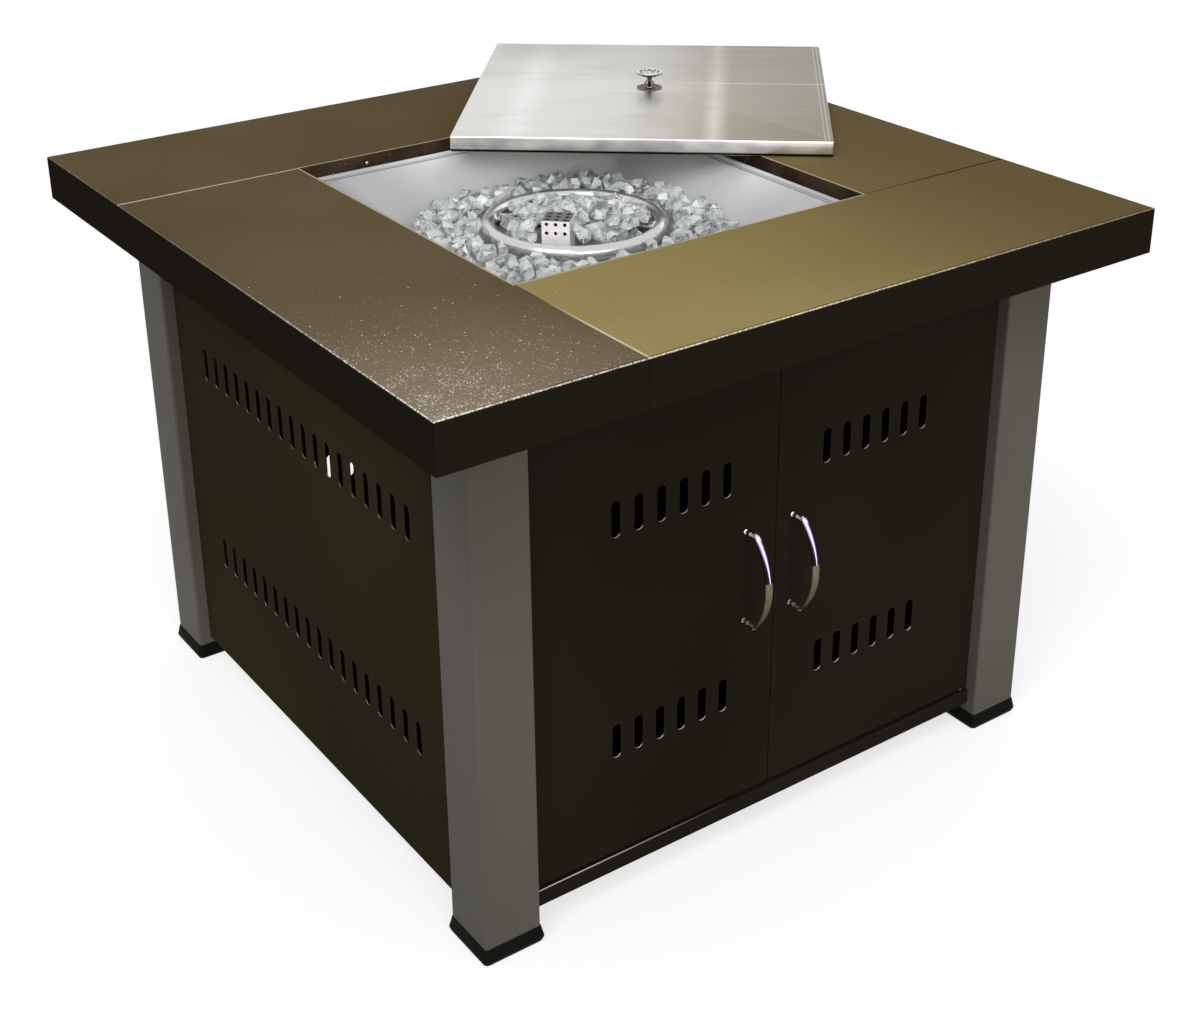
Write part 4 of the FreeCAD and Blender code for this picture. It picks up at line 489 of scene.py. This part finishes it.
def bow_chrome(name):
    """The pulls' plating: a white and violet glint down the upper half, olive reflections below."""
    look = Look(name, Metallic=0.5, Specular_IOR_Level=0.1, Specular_Tint=linear("6a6a78"))
    x, y, z = look.axes()
    marks = look.noise(90.0, 4.0)
    olive = look.blend(look.ramp_straight(z, 0.01, -0.06), linear("74725a"), linear("3f3d35"))
    olive = look.blend(look.ramp(marks, 0.35, 0.7, 0.0, 0.5), olive, linear("55543f"))
    upper = look.ramp(z, 0.0100, 0.0115)
    # Painted highlight: the lower post lighter next to the door.
    posts = look.both(look.ramp_straight(y, -0.0205, -0.0185), look.maths("LESS_THAN", z, 0.0))
    olive = look.blend(look.maths("MULTIPLY", posts, 0.8), olive, linear("8a8872"))
    base = look.blend(upper, olive, linear("1c181c"))
    wide = look.ramp_straight(z, 0.009, 0.055)
    half = look.maths("MULTIPLY_ADD", wide, 0.0018, third=0.0005)
    off = look.maths("ABSOLUTE", look.maths("ADD", x, look.maths("MULTIPLY", wide, 0.0008)))
    near = look.maths("DIVIDE", off, half)
    violet = look.both(upper, look.ramp(near, 1.7, 1.0))
    base = look.blend(violet, base, linear("7a68b8"))
    white = look.both(upper, look.ramp(near, 0.9, 0.5))
    base = look.blend(white, base, linear("ffffff"))
    # Painted glints at the upper end.
    end = look.ramp(z, 0.0535, 0.0560)
    flecks = look.ramp(look.noise(260.0, 2.0), 0.48, 0.58)
    base = look.blend(look.both(end, flecks), base, linear("ffffff"))
    # Painted highlight at the lower tip.
    under = look.ramp(z, -0.0576, -0.0580)
    base = look.blend(look.maths("MULTIPLY", under, 0.9), base, linear("ffffff"))
    look.link(base, "Base Color")
    look.link(look.ramp(marks, 0.3, 0.75, 0.16, 0.28), "Roughness")
    look.bump(marks, MARK_DEPTH, 0.5, look.edges(FINE_EDGE)[1])
    return look.material


def reflection_toned(name, up, side, roughness, metallic, darker=0.75, holes=False):
    """Bright metal with painted reflection: one colour on level faces and another on upright ones.

    holes is for the igniter cover: it paints shade into the inside and onto the level faces round
    the holes.
    """
    look = Look(name, Metallic=metallic, Specular_IOR_Level=0.2)
    marks = look.noise(90.0, 4.0)
    # Painted reflection: level and upright faces in different colours.
    base = look.blend(look.facing_up(), linear(side), linear(up))
    dimmed = look.blend(1.0 - darker, base, linear("000000"))
    base = look.blend(look.ramp(marks, 0.35, 0.7), base, dimmed)
    # Edges lighter from wear and a painted edge highlight.
    edge_wear_and_highlight, rounded = look.edges(FINE_EDGE)
    base = look.blend(look.maths("MULTIPLY", edge_wear_and_highlight, 0.5), base, linear("f4f4f4"))
    # Painted shade: the cover's inside dark, and dark dots round its holes.
    if holes:
        centred = look.add("ShaderNodeMapping", Vector=look.place, vector_type="TEXTURE",
                           Location=(*COVER_PLACE, 0),
                           Rotation=(0, 0, math.radians(45))).outputs[0]
        u, v, _ = look.add("ShaderNodeSeparateXYZ", Vector=centred).outputs
        u, v = [look.maths("ABSOLUTE", value) for value in (u, v)]
        within = look.maths("LESS_THAN", look.maths("MAXIMUM", u, v), COVER_INSIDE)
        inside = look.both(within, look.maths("SUBTRACT", 1.0, look.facing_up()))
        base = look.blend(look.maths("MULTIPLY", inside, 0.97), base, linear("060606"))
        u, v = [look.maths("PINGPONG", value, HOLE_PITCH / 2) for value in (u, v)]
        apart = look.maths("SQRT", look.maths("ADD", look.both(u, u), look.both(v, v)))
        dark = look.both(look.facing_up(), look.ramp(apart, 0.0038, 0.0033))
        base = look.blend(look.maths("MULTIPLY", dark, 0.95), base, linear("060606"))
    look.link(base, "Base Color")
    look.link(look.ramp(marks, 0.3, 0.75, roughness, roughness + 0.1), "Roughness")
    look.bump(marks, MARK_DEPTH, 0.5, rounded)
    return look.material


# Pale seam lines are painted highlights; the dark ones are dark joints.
SEAM_LEFT_HIGHLIGHT = (1, HALF_OPENING - 0.0003, -1, "f2e8d2", 0.9)
SEAM_FRONT_HIGHLIGHT = (0, -HALF_OPENING + 0.0003, -1, "fff4d8", 0.0)
SEAM_RIGHT = (1, -HALF_OPENING + 0.0003, 1, "2a2416", 0.3)
SEAM_BACK = (0, HALF_OPENING - 0.0003, 1, "2a2416", 0.3)
LOOKS = {
    # The top's two looks are shaded and lit copies of one coat: the left and back panels darker,
    # with a painted sheen near the front-left corner; the front and right panels lighter, with
    # painted shade falling off to the right.
    "top_shaded": top_coat("top_coat_shaded", "6f644d", "665b44", near=(F_CORNER, 0.36, "948875"),
                          flake_glints=1.0, seams=(SEAM_LEFT_HIGHLIGHT, SEAM_FRONT_HIGHLIGHT, SEAM_BACK)),
    "top_lit": top_coat("top_coat_lit", "ac9c6e", "a29263", along=(-0.20, 0.46, "726547"),
                          flake_glints=0.25, seams=(SEAM_FRONT_HIGHLIGHT, SEAM_RIGHT, SEAM_BACK)),
    # The cabinet, side panels and shelf take painted highlights on faces turned up: the slot lips
    # and the shelf's lip.
    "cabinet": coat("cabinet_coat", "201d17", "1c1913", "3a352b", 0.55, lit="e8e2d2",
                    lit_front=-WALL_FACE + 0.0014),
    "panel": coat("panel_coat", "2e2b1d", "29261a", "423d2e", 0.55, lit="8a8474"),
    "shelf": coat("shelf_coat", "201d17", "1c1813", "3a352b", 0.55, lit="ffffff",
                  lit_near=((-0.38, -0.40, 0.056), 0.34), lit_front=SHELF_FRONT + 0.0016),
    "leg": coat("leg_coat", "53504a", "4b4841", "6d695c", 0.5, specular=0.06),
    "inside": coat("inner_coat", "17130e", "100d09", "3d3529", 0.5),
    "foot": moulded("foot_plastic", "121210", "0c0c0a", 0.5),
    "black": moulded("black_plastic", "141414", "0a0a0a", 0.4),
    "rubber": moulded("lead_rubber", "1a1a1a", "101010", 0.6),
    "stainless": brushed("stainless", "c2c2c5", "b5b5b9", 0.45, metallic=0.35, contrast=0.14,
                         stretch=(12.0, 500.0, 500.0), grooves=(0.2421, 0.2331, 0.2319, 0.2284),
                         tray_light_and_shade=True),
    "lid": lid_steel("stainless_lid"),
    "ring": brushed("stainless_ring", "d4d4d2", "c2c2c0", 0.22, stretch=(60.0, 60.0, 60.0),
                    contrast=0.06, metallic=0.85, inner_darker=True),
    # The cover, knob and plate take painted reflections: bright and dark faces by the way they
    # face.
    "cover": reflection_toned("stainless_cover", "5c5c5c", "fffbff", 0.3, 0.25, darker=0.92, holes=True),
    "chrome": bow_chrome("chrome_trim"),
    "knob": reflection_toned("chrome_knob", "f4f2ee", "4a443c", 0.16, 0.75),
    "plate": reflection_toned("chrome_plate", "4e4838", "2c2820", 0.35, 0.4),
    "zinc": polished("zinc_steel", "d5d6d4", "bfc0bd", 0.3),
    "brass": polished("brass", "c3a25a", "8f7338", 0.28),
    "tube": polished("tube_aluminium", "bdbebd", "9c9d9b", 0.3),
    "glass": clear_glass("fire_glass"),
}

SLOT_LOOKS = {"top_coat": "top_shaded", "cabinet_coat": "cabinet", "leg_coat": "leg",
              "foot_plastic": "foot", "stainless": "stainless", "chrome_trim": "chrome",
              "zinc_steel": "zinc", "fire_glass": "glass", "brass": "brass",
              "tube_aluminium": "tube", "black_plastic": "black", "lead_rubber": "rubber"}
NODE_LOOKS = {"top_panel_front": "top_lit", "top_panel_right": "top_lit",
              "left_panel": "panel", "right_panel": "panel", "back_panel": "panel",
              "tray_ledge_frame": "inside", "burner_ring": "ring", "igniter_cover": "cover",
              "knob_plate": "plate", "lid_knob": "knob", "lid": "lid", "base_shelf": "shelf"}


def dress_nodes():
    """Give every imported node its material, by the slot that it was packed with."""
    for name, node in nodes.items():
        for place in node.material_slots:
            slot = place.material.name.split(".")[0]
            place.material = LOOKS[NODE_LOOKS.get(name, SLOT_LOOKS[slot])]


def piece(name, vertices, faces, body, look, replaces=(), at=None):
    """A finished piece of the visual model from its points and faces."""
    mesh = bpy.data.meshes.new(name)
    mesh.from_pydata([tuple(v) for v in vertices], [], faces)
    work = bmesh.new()
    work.from_mesh(mesh)
    bmesh.ops.recalc_face_normals(work, faces=work.faces)
    work.to_mesh(mesh)
    work.free()
    mesh.materials.append(LOOKS[look])
    obj = bpy.data.objects.new(name, mesh)
    bpy.context.scene.collection.objects.link(obj)
    mesh.shade_smooth()
    mesh.set_sharp_from_angle(angle=SHARP_ANGLE)
    if at is not None:
        obj.matrix_world = at
    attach(obj, body)
    if replaces:
        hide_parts(*replaces)
    return obj


def skin(rings, start=True, closed=False):
    """Points and faces of a surface through rings of equally many points."""
    count = len(rings[0])
    vertices = [point for ring in rings for point in ring]
    faces = []
    spans = len(rings) if closed else len(rings) - 1
    for index in range(spans):
        low = index * count
        high = (index + 1) % len(rings) * count
        for side in range(count):
            after = (side + 1) % count
            faces.append((low + side, low + after, high + after, high + side))
    if start and not closed:
        faces.append(tuple(range(count)))
    if not closed:
        faces.append(tuple(range((len(rings) - 1) * count, len(rings) * count)))
    return vertices, faces


def join(parts):
    """Several (points, faces) as one."""
    vertices = []
    faces = []
    for more_vertices, more_faces in parts:
        shift = len(vertices)
        vertices.extend(more_vertices)
        faces.extend(tuple(index + shift for index in face) for face in more_faces)
    return vertices, faces


def square_ring(half, radius, level, steps=6, centre=(0, 0)):
    """A square ring of points with round corners."""
    points = []
    for corner in range(4):
        middle = math.pi / 4 + corner * math.pi / 2
        reach = (half - radius) * math.sqrt(2)
        x = centre[0] + reach * math.cos(middle)
        y = centre[1] + reach * math.sin(middle)
        for step in range(steps + 1):
            angle = corner * math.pi / 2 + math.pi / 2 * step / steps
            points.append(Vector((x + radius * math.cos(angle), y + radius * math.sin(angle),
                                  level)))
    return points


def round_ring(radius, level, steps):
    """A level round ring of points about Z."""
    return [Vector((radius * math.cos(2 * math.pi * step / steps),
                    radius * math.sin(2 * math.pi * step / steps), level))
            for step in range(steps)]


def upright_ring(radius, centre, steps=20):
    """A round ring of points in an upright plane that faces the front."""
    return [centre + Vector((radius * math.cos(2 * math.pi * step / steps), 0,
                             radius * math.sin(2 * math.pi * step / steps)))
            for step in range(steps)]


def tube(path, section, closed=False, scales=None):
    """A swept section along a path; the section's first axis stays level where it can."""
    rings = []
    count = len(path)
    for index, point in enumerate(path):
        before = path[(index - 1) % count] if closed or index else path[0]
        after = path[(index + 1) % count] if closed or index < count - 1 else path[-1]
        along = (after - before).normalized()
        side = Vector((1, 0, 0)) if abs(along.x) < 0.7 else Vector((0, 0, 1))
        up = along.cross(side).normalized()
        side = up.cross(along).normalized()
        scale = scales[index] if scales else 1
        rings.append([point + side * (x * scale) + up * (y * scale) for x, y in section])
    return skin(rings, closed=closed)


def oval(width, height, steps=16, power=2.0):
    """A round or squarish oval section."""
    points = []
    for step in range(steps):
        angle = 2 * math.pi * step / steps
        c = math.cos(angle)
        q = math.sin(angle)
        points.append((math.copysign(abs(c) ** (2 / power), c) * width / 2,
                       math.copysign(abs(q) ** (2 / power), q) * height / 2))
    return points


def feet():
    """The rounded plastic foot caps."""
    profile = [(36.8, 4.5, 0), (37.8, 5.5, 0.6), (39.4, 6.5, 4.2), (39.9, 6.8, 5.6),
               (39.9, 6.8, 6.6), (39.4, 6.5, 8.0), (36.9, 4.4, 18.2), (36.5, 4.2, 19.4),
               (35.8, 3.8, 20.0)]
    for name in ("front_left", "front_right", "back_right", "back_left"):
        low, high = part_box("foot_" + name)
        centre = ((low.x + high.x) / 2, (low.y + high.y) / 2)
        rings = [square_ring(half * MM, radius * MM, level * MM, centre=centre)
                 for half, radius, level in profile]
        vertices, faces = skin(rings)
        piece("foot_cap_" + name, vertices, faces, "root", "foot",
              replaces=["foot_" + name])


def tray():
    """The pressed tray with its rolled edge, bead and sloping sides."""
    bead = [(237.3 + 3.5 * math.cos(math.pi * step / 8), 4.0 * math.sin(math.pi * step / 8))
            for step in range(9)]
    ridge = [(230.2 + 1.3 * math.cos(math.pi * step / 4), 1.1 * math.sin(math.pi * step / 4))
             for step in range(5)]
    profile = [(243.6, -1.2), (243.6, 0.6), (243.2, 1.2), (242.7, 1.2), (242.3, 0.4), (242.0, 0.0)]
    profile += bead + [(233.0, 0.0), (232.2, 0.0)] + ridge + [(227.6, -0.1), (226.6, -0.6)]
    profile += [(206.0, -18.6), (186.0, -36.0), (166.6, -53.0), (165.2, -53.8), (163.5, -54.0)]
    rings = []
    for half, level in profile:
        corner = 14 if half > 229 else 40 - 26 * (227.6 - half) / 64
        rings.append(square_ring(half * MM, corner * MM, TRAY_RIM + level * MM, steps=12))
    vertices, faces = skin(rings, start=False)
    obj = piece("tray_pressing", vertices, faces, "root", "stainless",
                replaces=["burner_tray"])
    shell = obj.modifiers.new("sheet", "SOLIDIFY")
    shell.thickness = 1.2 * MM
    shell.offset = -1


def lid_frame(level):
    """The place and turn of the lid as it lies, at a height."""
    return Matrix.Translation((*LID_PLACE, level)) @ Matrix.Rotation(LID_TURN, 4, "Z")


def lid():
    """The lid pan with its hemmed skirt and a faint pressed line round its top."""
    profile = [(241.6, 19.8), (241.8, 18.0), (241.8, 5.4), (240.4, 5.0), (240.2, 4.4),
               (240.2, 1.2), (240.6, 0.4), (241.4, 0.0), (242.2, 0.0), (242.8, 0.4),
               (243.0, 1.2), (243.0, 18.6), (242.8, 19.7), (242.2, 20.5), (241.2, 20.9),
               (240.0, 21.0), (234.6, 21.0), (234.2, 20.9), (233.8, 20.9), (233.4, 21.0)]
    rings = [square_ring(half * MM, 2.2 * MM, level * MM) for half, level in profile]
    vertices, faces = skin(rings)
    piece("lid_pan", vertices, faces, "lid", "lid", replaces=["lid"],
          at=lid_frame(TOP))


def knob():
    """The openwork lid knob: rim, six loops, stem and a scalloped foot."""
    steps = 36
    stem = [(2.6, 0.0), (2.6, 8.6), (3.2, 9.6), (3.3, 11.0), (3.1, 12.2), (3.9, 13.4),
            (5.0, 14.4), (5.2, 15.2), (4.2, 15.8), (2.0, 16.0)]
    parts = [skin([round_ring(radius * MM, level * MM, 28) for radius, level in stem])]

    for radius, level, thick, around in ((16.3, 20.4, 3.0, 12), (4.8, 15.8, 2.0, 10),
                                         (6.3, 0.9, 1.6, 10)):
        path = round_ring(radius * MM, level * MM, 48)
        parts.append(tube(path, oval(thick * MM, thick * MM, around), closed=True))
    for index in range(6):
        turn = Matrix.Rotation(index * math.pi / 3, 3, "Z")
        loop = []
        for step in range(steps):
            angle = 2 * math.pi * step / steps
            out = 10.4 + 5.0 * math.cos(angle)
            side = 3.9 * math.sin(angle)
            level = 15.7 + 5.0 * (out / 16.0) ** 2 + 0.6 * math.cos(angle)
            loop.append(turn @ Vector((out * MM, side * MM, level * MM)))
        parts.append(tube(loop, oval(2.4 * MM, 2.4 * MM, 10), closed=True))
        rib = []
        for step in range(13):
            angle = math.pi / 2 * step / 12
            out = 2.9 + 3.5 * math.cos(angle) ** 0.8
            rib.append(turn @ Vector((out * MM, 0, (0.8 + 8.2 * math.sin(angle)) * MM)))
        parts.append(tube(rib, oval(1.7 * MM, 1.7 * MM, 8)))
    vertices, faces = join(parts)
    piece("openwork_knob", vertices, faces, "lid", "knob", replaces=["lid_knob"],
          at=lid_frame(LID_TOP + 0.8 * MM))


def handles():
    """The bow pulls: a flattened bow that swells towards its middle, on two slim posts."""
    half = 63 * MM
    radius = 88 * MM
    reach = 44.5 * MM
    spread = math.asin(half / radius)
    for side, x in HANDLE_PLACES:
        path = []
        scales = []
        steps = 40
        for step in range(steps + 1):
            share = step / steps * 2 - 1
            angle = spread * share
            middle = radius - 2.5 * MM
            path.append(Vector((0, -(reach - radius) - middle * math.cos(angle),
                                middle * math.sin(angle))))
            end = min(1.0, (1 - abs(share)) / 0.09)
            slim = 0.62 if share > 0 else 0.45
            scales.append((0.35 + 0.65 * math.sqrt(max(0.0, 1 - (1 - end) ** 2)))
                          * (slim + (1 - slim) * (1 - share ** 2)))
        parts = [tube(path, oval(10 * MM, 5 * MM, 20, 2.6), scales=scales)]
        for end in (-1, 1):
            profile = [(3.0, 0.0), (3.0, 0.5), (2.4, 1.0), (1.8, 2.0), (1.6, 12.0), (1.7, 17.0),
                       (2.1, 20.3)]
            parts.append(skin([upright_ring(width * MM, Vector((0, -out * MM, 57 * MM * end)))
                               for width, out in profile]))
        vertices, faces = join(parts)
        piece(side + "_bow_pull", vertices, faces, side + "_door", "chrome",
              replaces=[side + "_handle"], at=Matrix.Translation((x, -WALL_FACE, HANDLE_LEVEL)))


def wall_screws():
    """Two pan-head screws in the back wall of the opening."""
    for index, x in enumerate(SCREW_PLACES):
        rings = []
        for width, out in ((2.4, 0.0), (2.4, 0.5), (2.0, 1.1), (1.2, 1.5), (0.4, 1.6)):
            centre = Vector((x, HALF_OPENING - WALL_SHEET - out * MM, SCREW_LEVEL))
            rings.append(upright_ring(width * MM, centre))
        vertices, faces = skin(rings)
        piece(f"wall_screw_{index + 1}", vertices, faces, "root", "zinc")


def tray_level(x, y):
    """Height of the tray's surface at a place."""
    reach = max(abs(x), abs(y))
    if reach <= TRAY_FLOOR_HALF:
        return TRAY_FLOOR
    share = (reach - TRAY_FLOOR_HALF) / (TRAY_SLOPE_HALF - TRAY_FLOOR_HALF)
    return TRAY_FLOOR + (TRAY_RIM - TRAY_FLOOR) * share


def heap_top(x, y):
    """Height that the heap of glass reaches at a place."""
    distance = max(math.hypot(x, y), 0.001)
    ahead = AHEAD[0] * x + AHEAD[1] * y
    if distance < RING_RADIUS:
        inner = RING_RADIUS - RING_TUBE
        to_far_side = math.sqrt(max(0.0, ahead ** 2 + inner ** 2 - distance ** 2)) - ahead
        return min(0.676, 0.654 + 0.42 * to_far_side)
    towards_camera = max(0.0, -ahead / distance)
    fall = 0.016 * min(1.0, (distance - RING_RADIUS) / 0.09) ** 1.3
    return 0.669 - fall - 0.010 * towards_camera


def rest_height(x, y, radius, placed):
    """Where the middle of a ball comes to rest, dropped at a place, or None."""
    level = tray_level(x, y) + radius
    distance = math.hypot(x, y)
    if abs(distance - RING_RADIUS) < RING_TUBE + radius * 0.85:
        return None
    off_arm = abs(x + y) * math.sqrt(0.5)
    if off_arm < ARM_TUBE + radius and distance < RING_RADIUS:
        level = max(level, RING_LEVEL + math.sqrt((ARM_TUBE + radius) ** 2 - off_arm ** 2))
    if math.hypot(x - COVER_PLACE[0], y - COVER_PLACE[1]) < COVER_REACH + radius * 0.8:
        return None
    for other_x, other_y, other_z, other_radius in placed:
        apart = (x - other_x) ** 2 + (y - other_y) ** 2
        reach = (radius + other_radius) * CHUNK_OVERLAP
        if apart < reach ** 2:
            level = max(level, other_z + math.sqrt(reach ** 2 - apart))
    return level


def heap():
    """The heap of clear glass chunks in and round the burner ring."""
    draw = random.Random(7)
    placed = []
    for _ in range(HEAP_DROPS):
        angle = draw.uniform(0, 2 * math.pi)
        distance = HEAP_RADIUS * math.sqrt(draw.uniform(0, 1))
        x = distance * math.cos(angle)
        y = distance * math.sin(angle)
        radius = CHUNK_LEAST + CHUNK_SPREAD * draw.random() ** 1.8
        if max(abs(x), abs(y)) > HEAP_HALF:
            continue
        level = rest_height(x, y, radius, placed)
        if level is not None and level + radius * 0.7 < heap_top(x, y):
            placed.append((x, y, level, radius))
    work = bmesh.new()
    for x, y, level, radius in placed:
        axis = Vector([draw.gauss(0, 1) for _ in range(3)]).normalized()
        spin = Matrix.Rotation(draw.uniform(0, 2 * math.pi), 3, axis)
        sizes = Vector((1.12, draw.uniform(0.80, 1.0), draw.uniform(0.6, 0.86)))
        points = []
        count = draw.randint(9, 13)
        for index in range(count):
            level_share = 1 - 2 * (index + 0.5) / count
            around = index * math.pi * (3 - math.sqrt(5)) + draw.uniform(-0.5, 0.5)
            flat = math.sqrt(1 - level_share ** 2)
            direction = Vector((flat * math.cos(around), flat * math.sin(around), level_share))
            direction = Vector([a * b for a, b in zip(direction, sizes)]) * draw.uniform(0.92, 1.16)
            points.append(work.verts.new(Vector((x, y, level)) + spin @ direction * radius))
        hull = bmesh.ops.convex_hull(work, input=points, use_existing_faces=False)
        spare = [item for item in hull["geom_interior"] if isinstance(item, bmesh.types.BMVert)]
        bmesh.ops.delete(work, geom=spare, context="VERTS")
    bmesh.ops.recalc_face_normals(work, faces=work.faces)
    mesh = bpy.data.meshes.new("glass_heap")
    work.to_mesh(mesh)
    work.free()
    mesh.materials.append(LOOKS["glass"])
    obj = bpy.data.objects.new("glass_heap", mesh)
    bpy.context.scene.collection.objects.link(obj)
    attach(obj, "root")
    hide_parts("fire_glass")


def white_for_eyes(tree, seen, lighting):
    """Mix two shaders: one for camera, glossy and transmitted rays, one that lights the rest."""
    rays = tree.nodes.new("ShaderNodeLightPath")
    total = None
    for name in ("Is Camera Ray", "Is Glossy Ray", "Is Transmission Ray"):
        if total is None:
            total = rays.outputs[name]
            continue
        most = tree.nodes.new("ShaderNodeMath")
        most.operation = "MAXIMUM"
        tree.links.new(total, most.inputs[0])
        tree.links.new(rays.outputs[name], most.inputs[1])
        total = most.outputs[0]
    mix = tree.nodes.new("ShaderNodeMixShader")
    tree.links.new(total, mix.inputs[0])
    tree.links.new(lighting, mix.inputs[1])
    tree.links.new(seen, mix.inputs[2])
    return mix.outputs[0]


def stage():
    """Pale floor, white surroundings and soft lamps."""
    world = bpy.data.worlds.new("surroundings")
    bpy.context.scene.world = world
    world.use_nodes = True
    tree = world.node_tree
    tree.nodes.clear()
    seen = tree.nodes.new("ShaderNodeBackground")
    seen.inputs[0].default_value = (1, 1, 1, 1)
    seen.inputs[1].default_value = 1.0
    lighting = tree.nodes.new("ShaderNodeBackground")
    lighting.inputs[0].default_value = (1, 1, 1, 1)
    lighting.inputs[1].default_value = 0.50
    out = tree.nodes.new("ShaderNodeOutputWorld")
    tree.links.new(white_for_eyes(tree, seen.outputs[0], lighting.outputs[0]), out.inputs[0])

    size = 30.0
    mesh = bpy.data.meshes.new("floor")
    mesh.from_pydata([(-size, -size, 0), (size, -size, 0), (size, size, 0), (-size, size, 0)], [],
                     [(0, 1, 2, 3)])
    floor = bpy.data.objects.new("floor", mesh)
    floor.location.z = -0.0002
    bpy.context.scene.collection.objects.link(floor)
    material = bpy.data.materials.new("floor")
    material.use_nodes = True
    tree = material.node_tree
    tree.nodes.clear()
    pale = tree.nodes.new("ShaderNodeBsdfDiffuse")
    pale.inputs[0].default_value = (0.8, 0.8, 0.8, 1)
    half_pale = tree.nodes.new("ShaderNodeBsdfDiffuse")
    half_pale.inputs[0].default_value = (0.45, 0.45, 0.45, 1)
    glow = tree.nodes.new("ShaderNodeEmission")
    glow.inputs[1].default_value = 0.66
    both = tree.nodes.new("ShaderNodeAddShader")
    tree.links.new(half_pale.outputs[0], both.inputs[0])
    tree.links.new(glow.outputs[0], both.inputs[1])
    out = tree.nodes.new("ShaderNodeOutputMaterial")
    tree.links.new(white_for_eyes(tree, both.outputs[0], pale.outputs[0]), out.inputs[0])
    mesh.materials.append(material)

    def lamp(name, kind, place, aim, energy, **more):
        data = bpy.data.lights.new(name, kind)
        data.energy = energy
        for key, value in more.items():
            setattr(data, key, value)
        obj = bpy.data.objects.new(name, data)
        obj.location = place
        direction = Vector(aim) - Vector(place)
        obj.rotation_euler = direction.to_track_quat("-Z", "Y").to_euler()
        bpy.context.scene.collection.objects.link(obj)

    lamp("key", "SUN", (-2.4, -1.2, 3.2), (0, 0, 0.4), 1.05, angle=math.radians(35))
    lamp("fill", "SUN", (-0.6, -2.8, 1.3), (0, 0, 0.4), 1.6, angle=math.radians(40))


def camera():
    """The photograph's viewpoint: place, bearing, tilt and roll, in a 1200 by 1025 frame."""
    wide = 1200
    tall = 1025
    focal = 1815.67
    axis_row = 350
    place = Vector((-1.18755, -1.73672, 1.39208))
    bearing = 0.613910
    tilt = 0.409463
    roll = 0.008017
    ahead = Vector((math.sin(bearing) * math.cos(tilt), math.cos(bearing) * math.cos(tilt),
                    -math.sin(tilt)))
    right = Vector((math.cos(bearing), -math.sin(bearing), 0))
    down = ahead.cross(right)
    across = right * math.cos(roll) + down * math.sin(roll)
    under = down * math.cos(roll) - right * math.sin(roll)
    data = bpy.data.cameras.new("view")
    data.sensor_width = 36
    data.lens = focal / wide * data.sensor_width
    data.shift_y = (axis_row - tall / 2) / wide
    obj = bpy.data.objects.new("view", data)
    turn = Matrix((across, -under, -ahead)).transposed()
    obj.matrix_world = Matrix.Translation(place) @ turn.to_4x4()
    bpy.context.scene.collection.objects.link(obj)
    bpy.context.scene.camera = obj


camera()
dress_nodes()
feet()
tray()
lid()
knob()
handles()
wall_screws()
heap()
stage()
bpy.context.scene.view_settings.view_transform = "Standard"
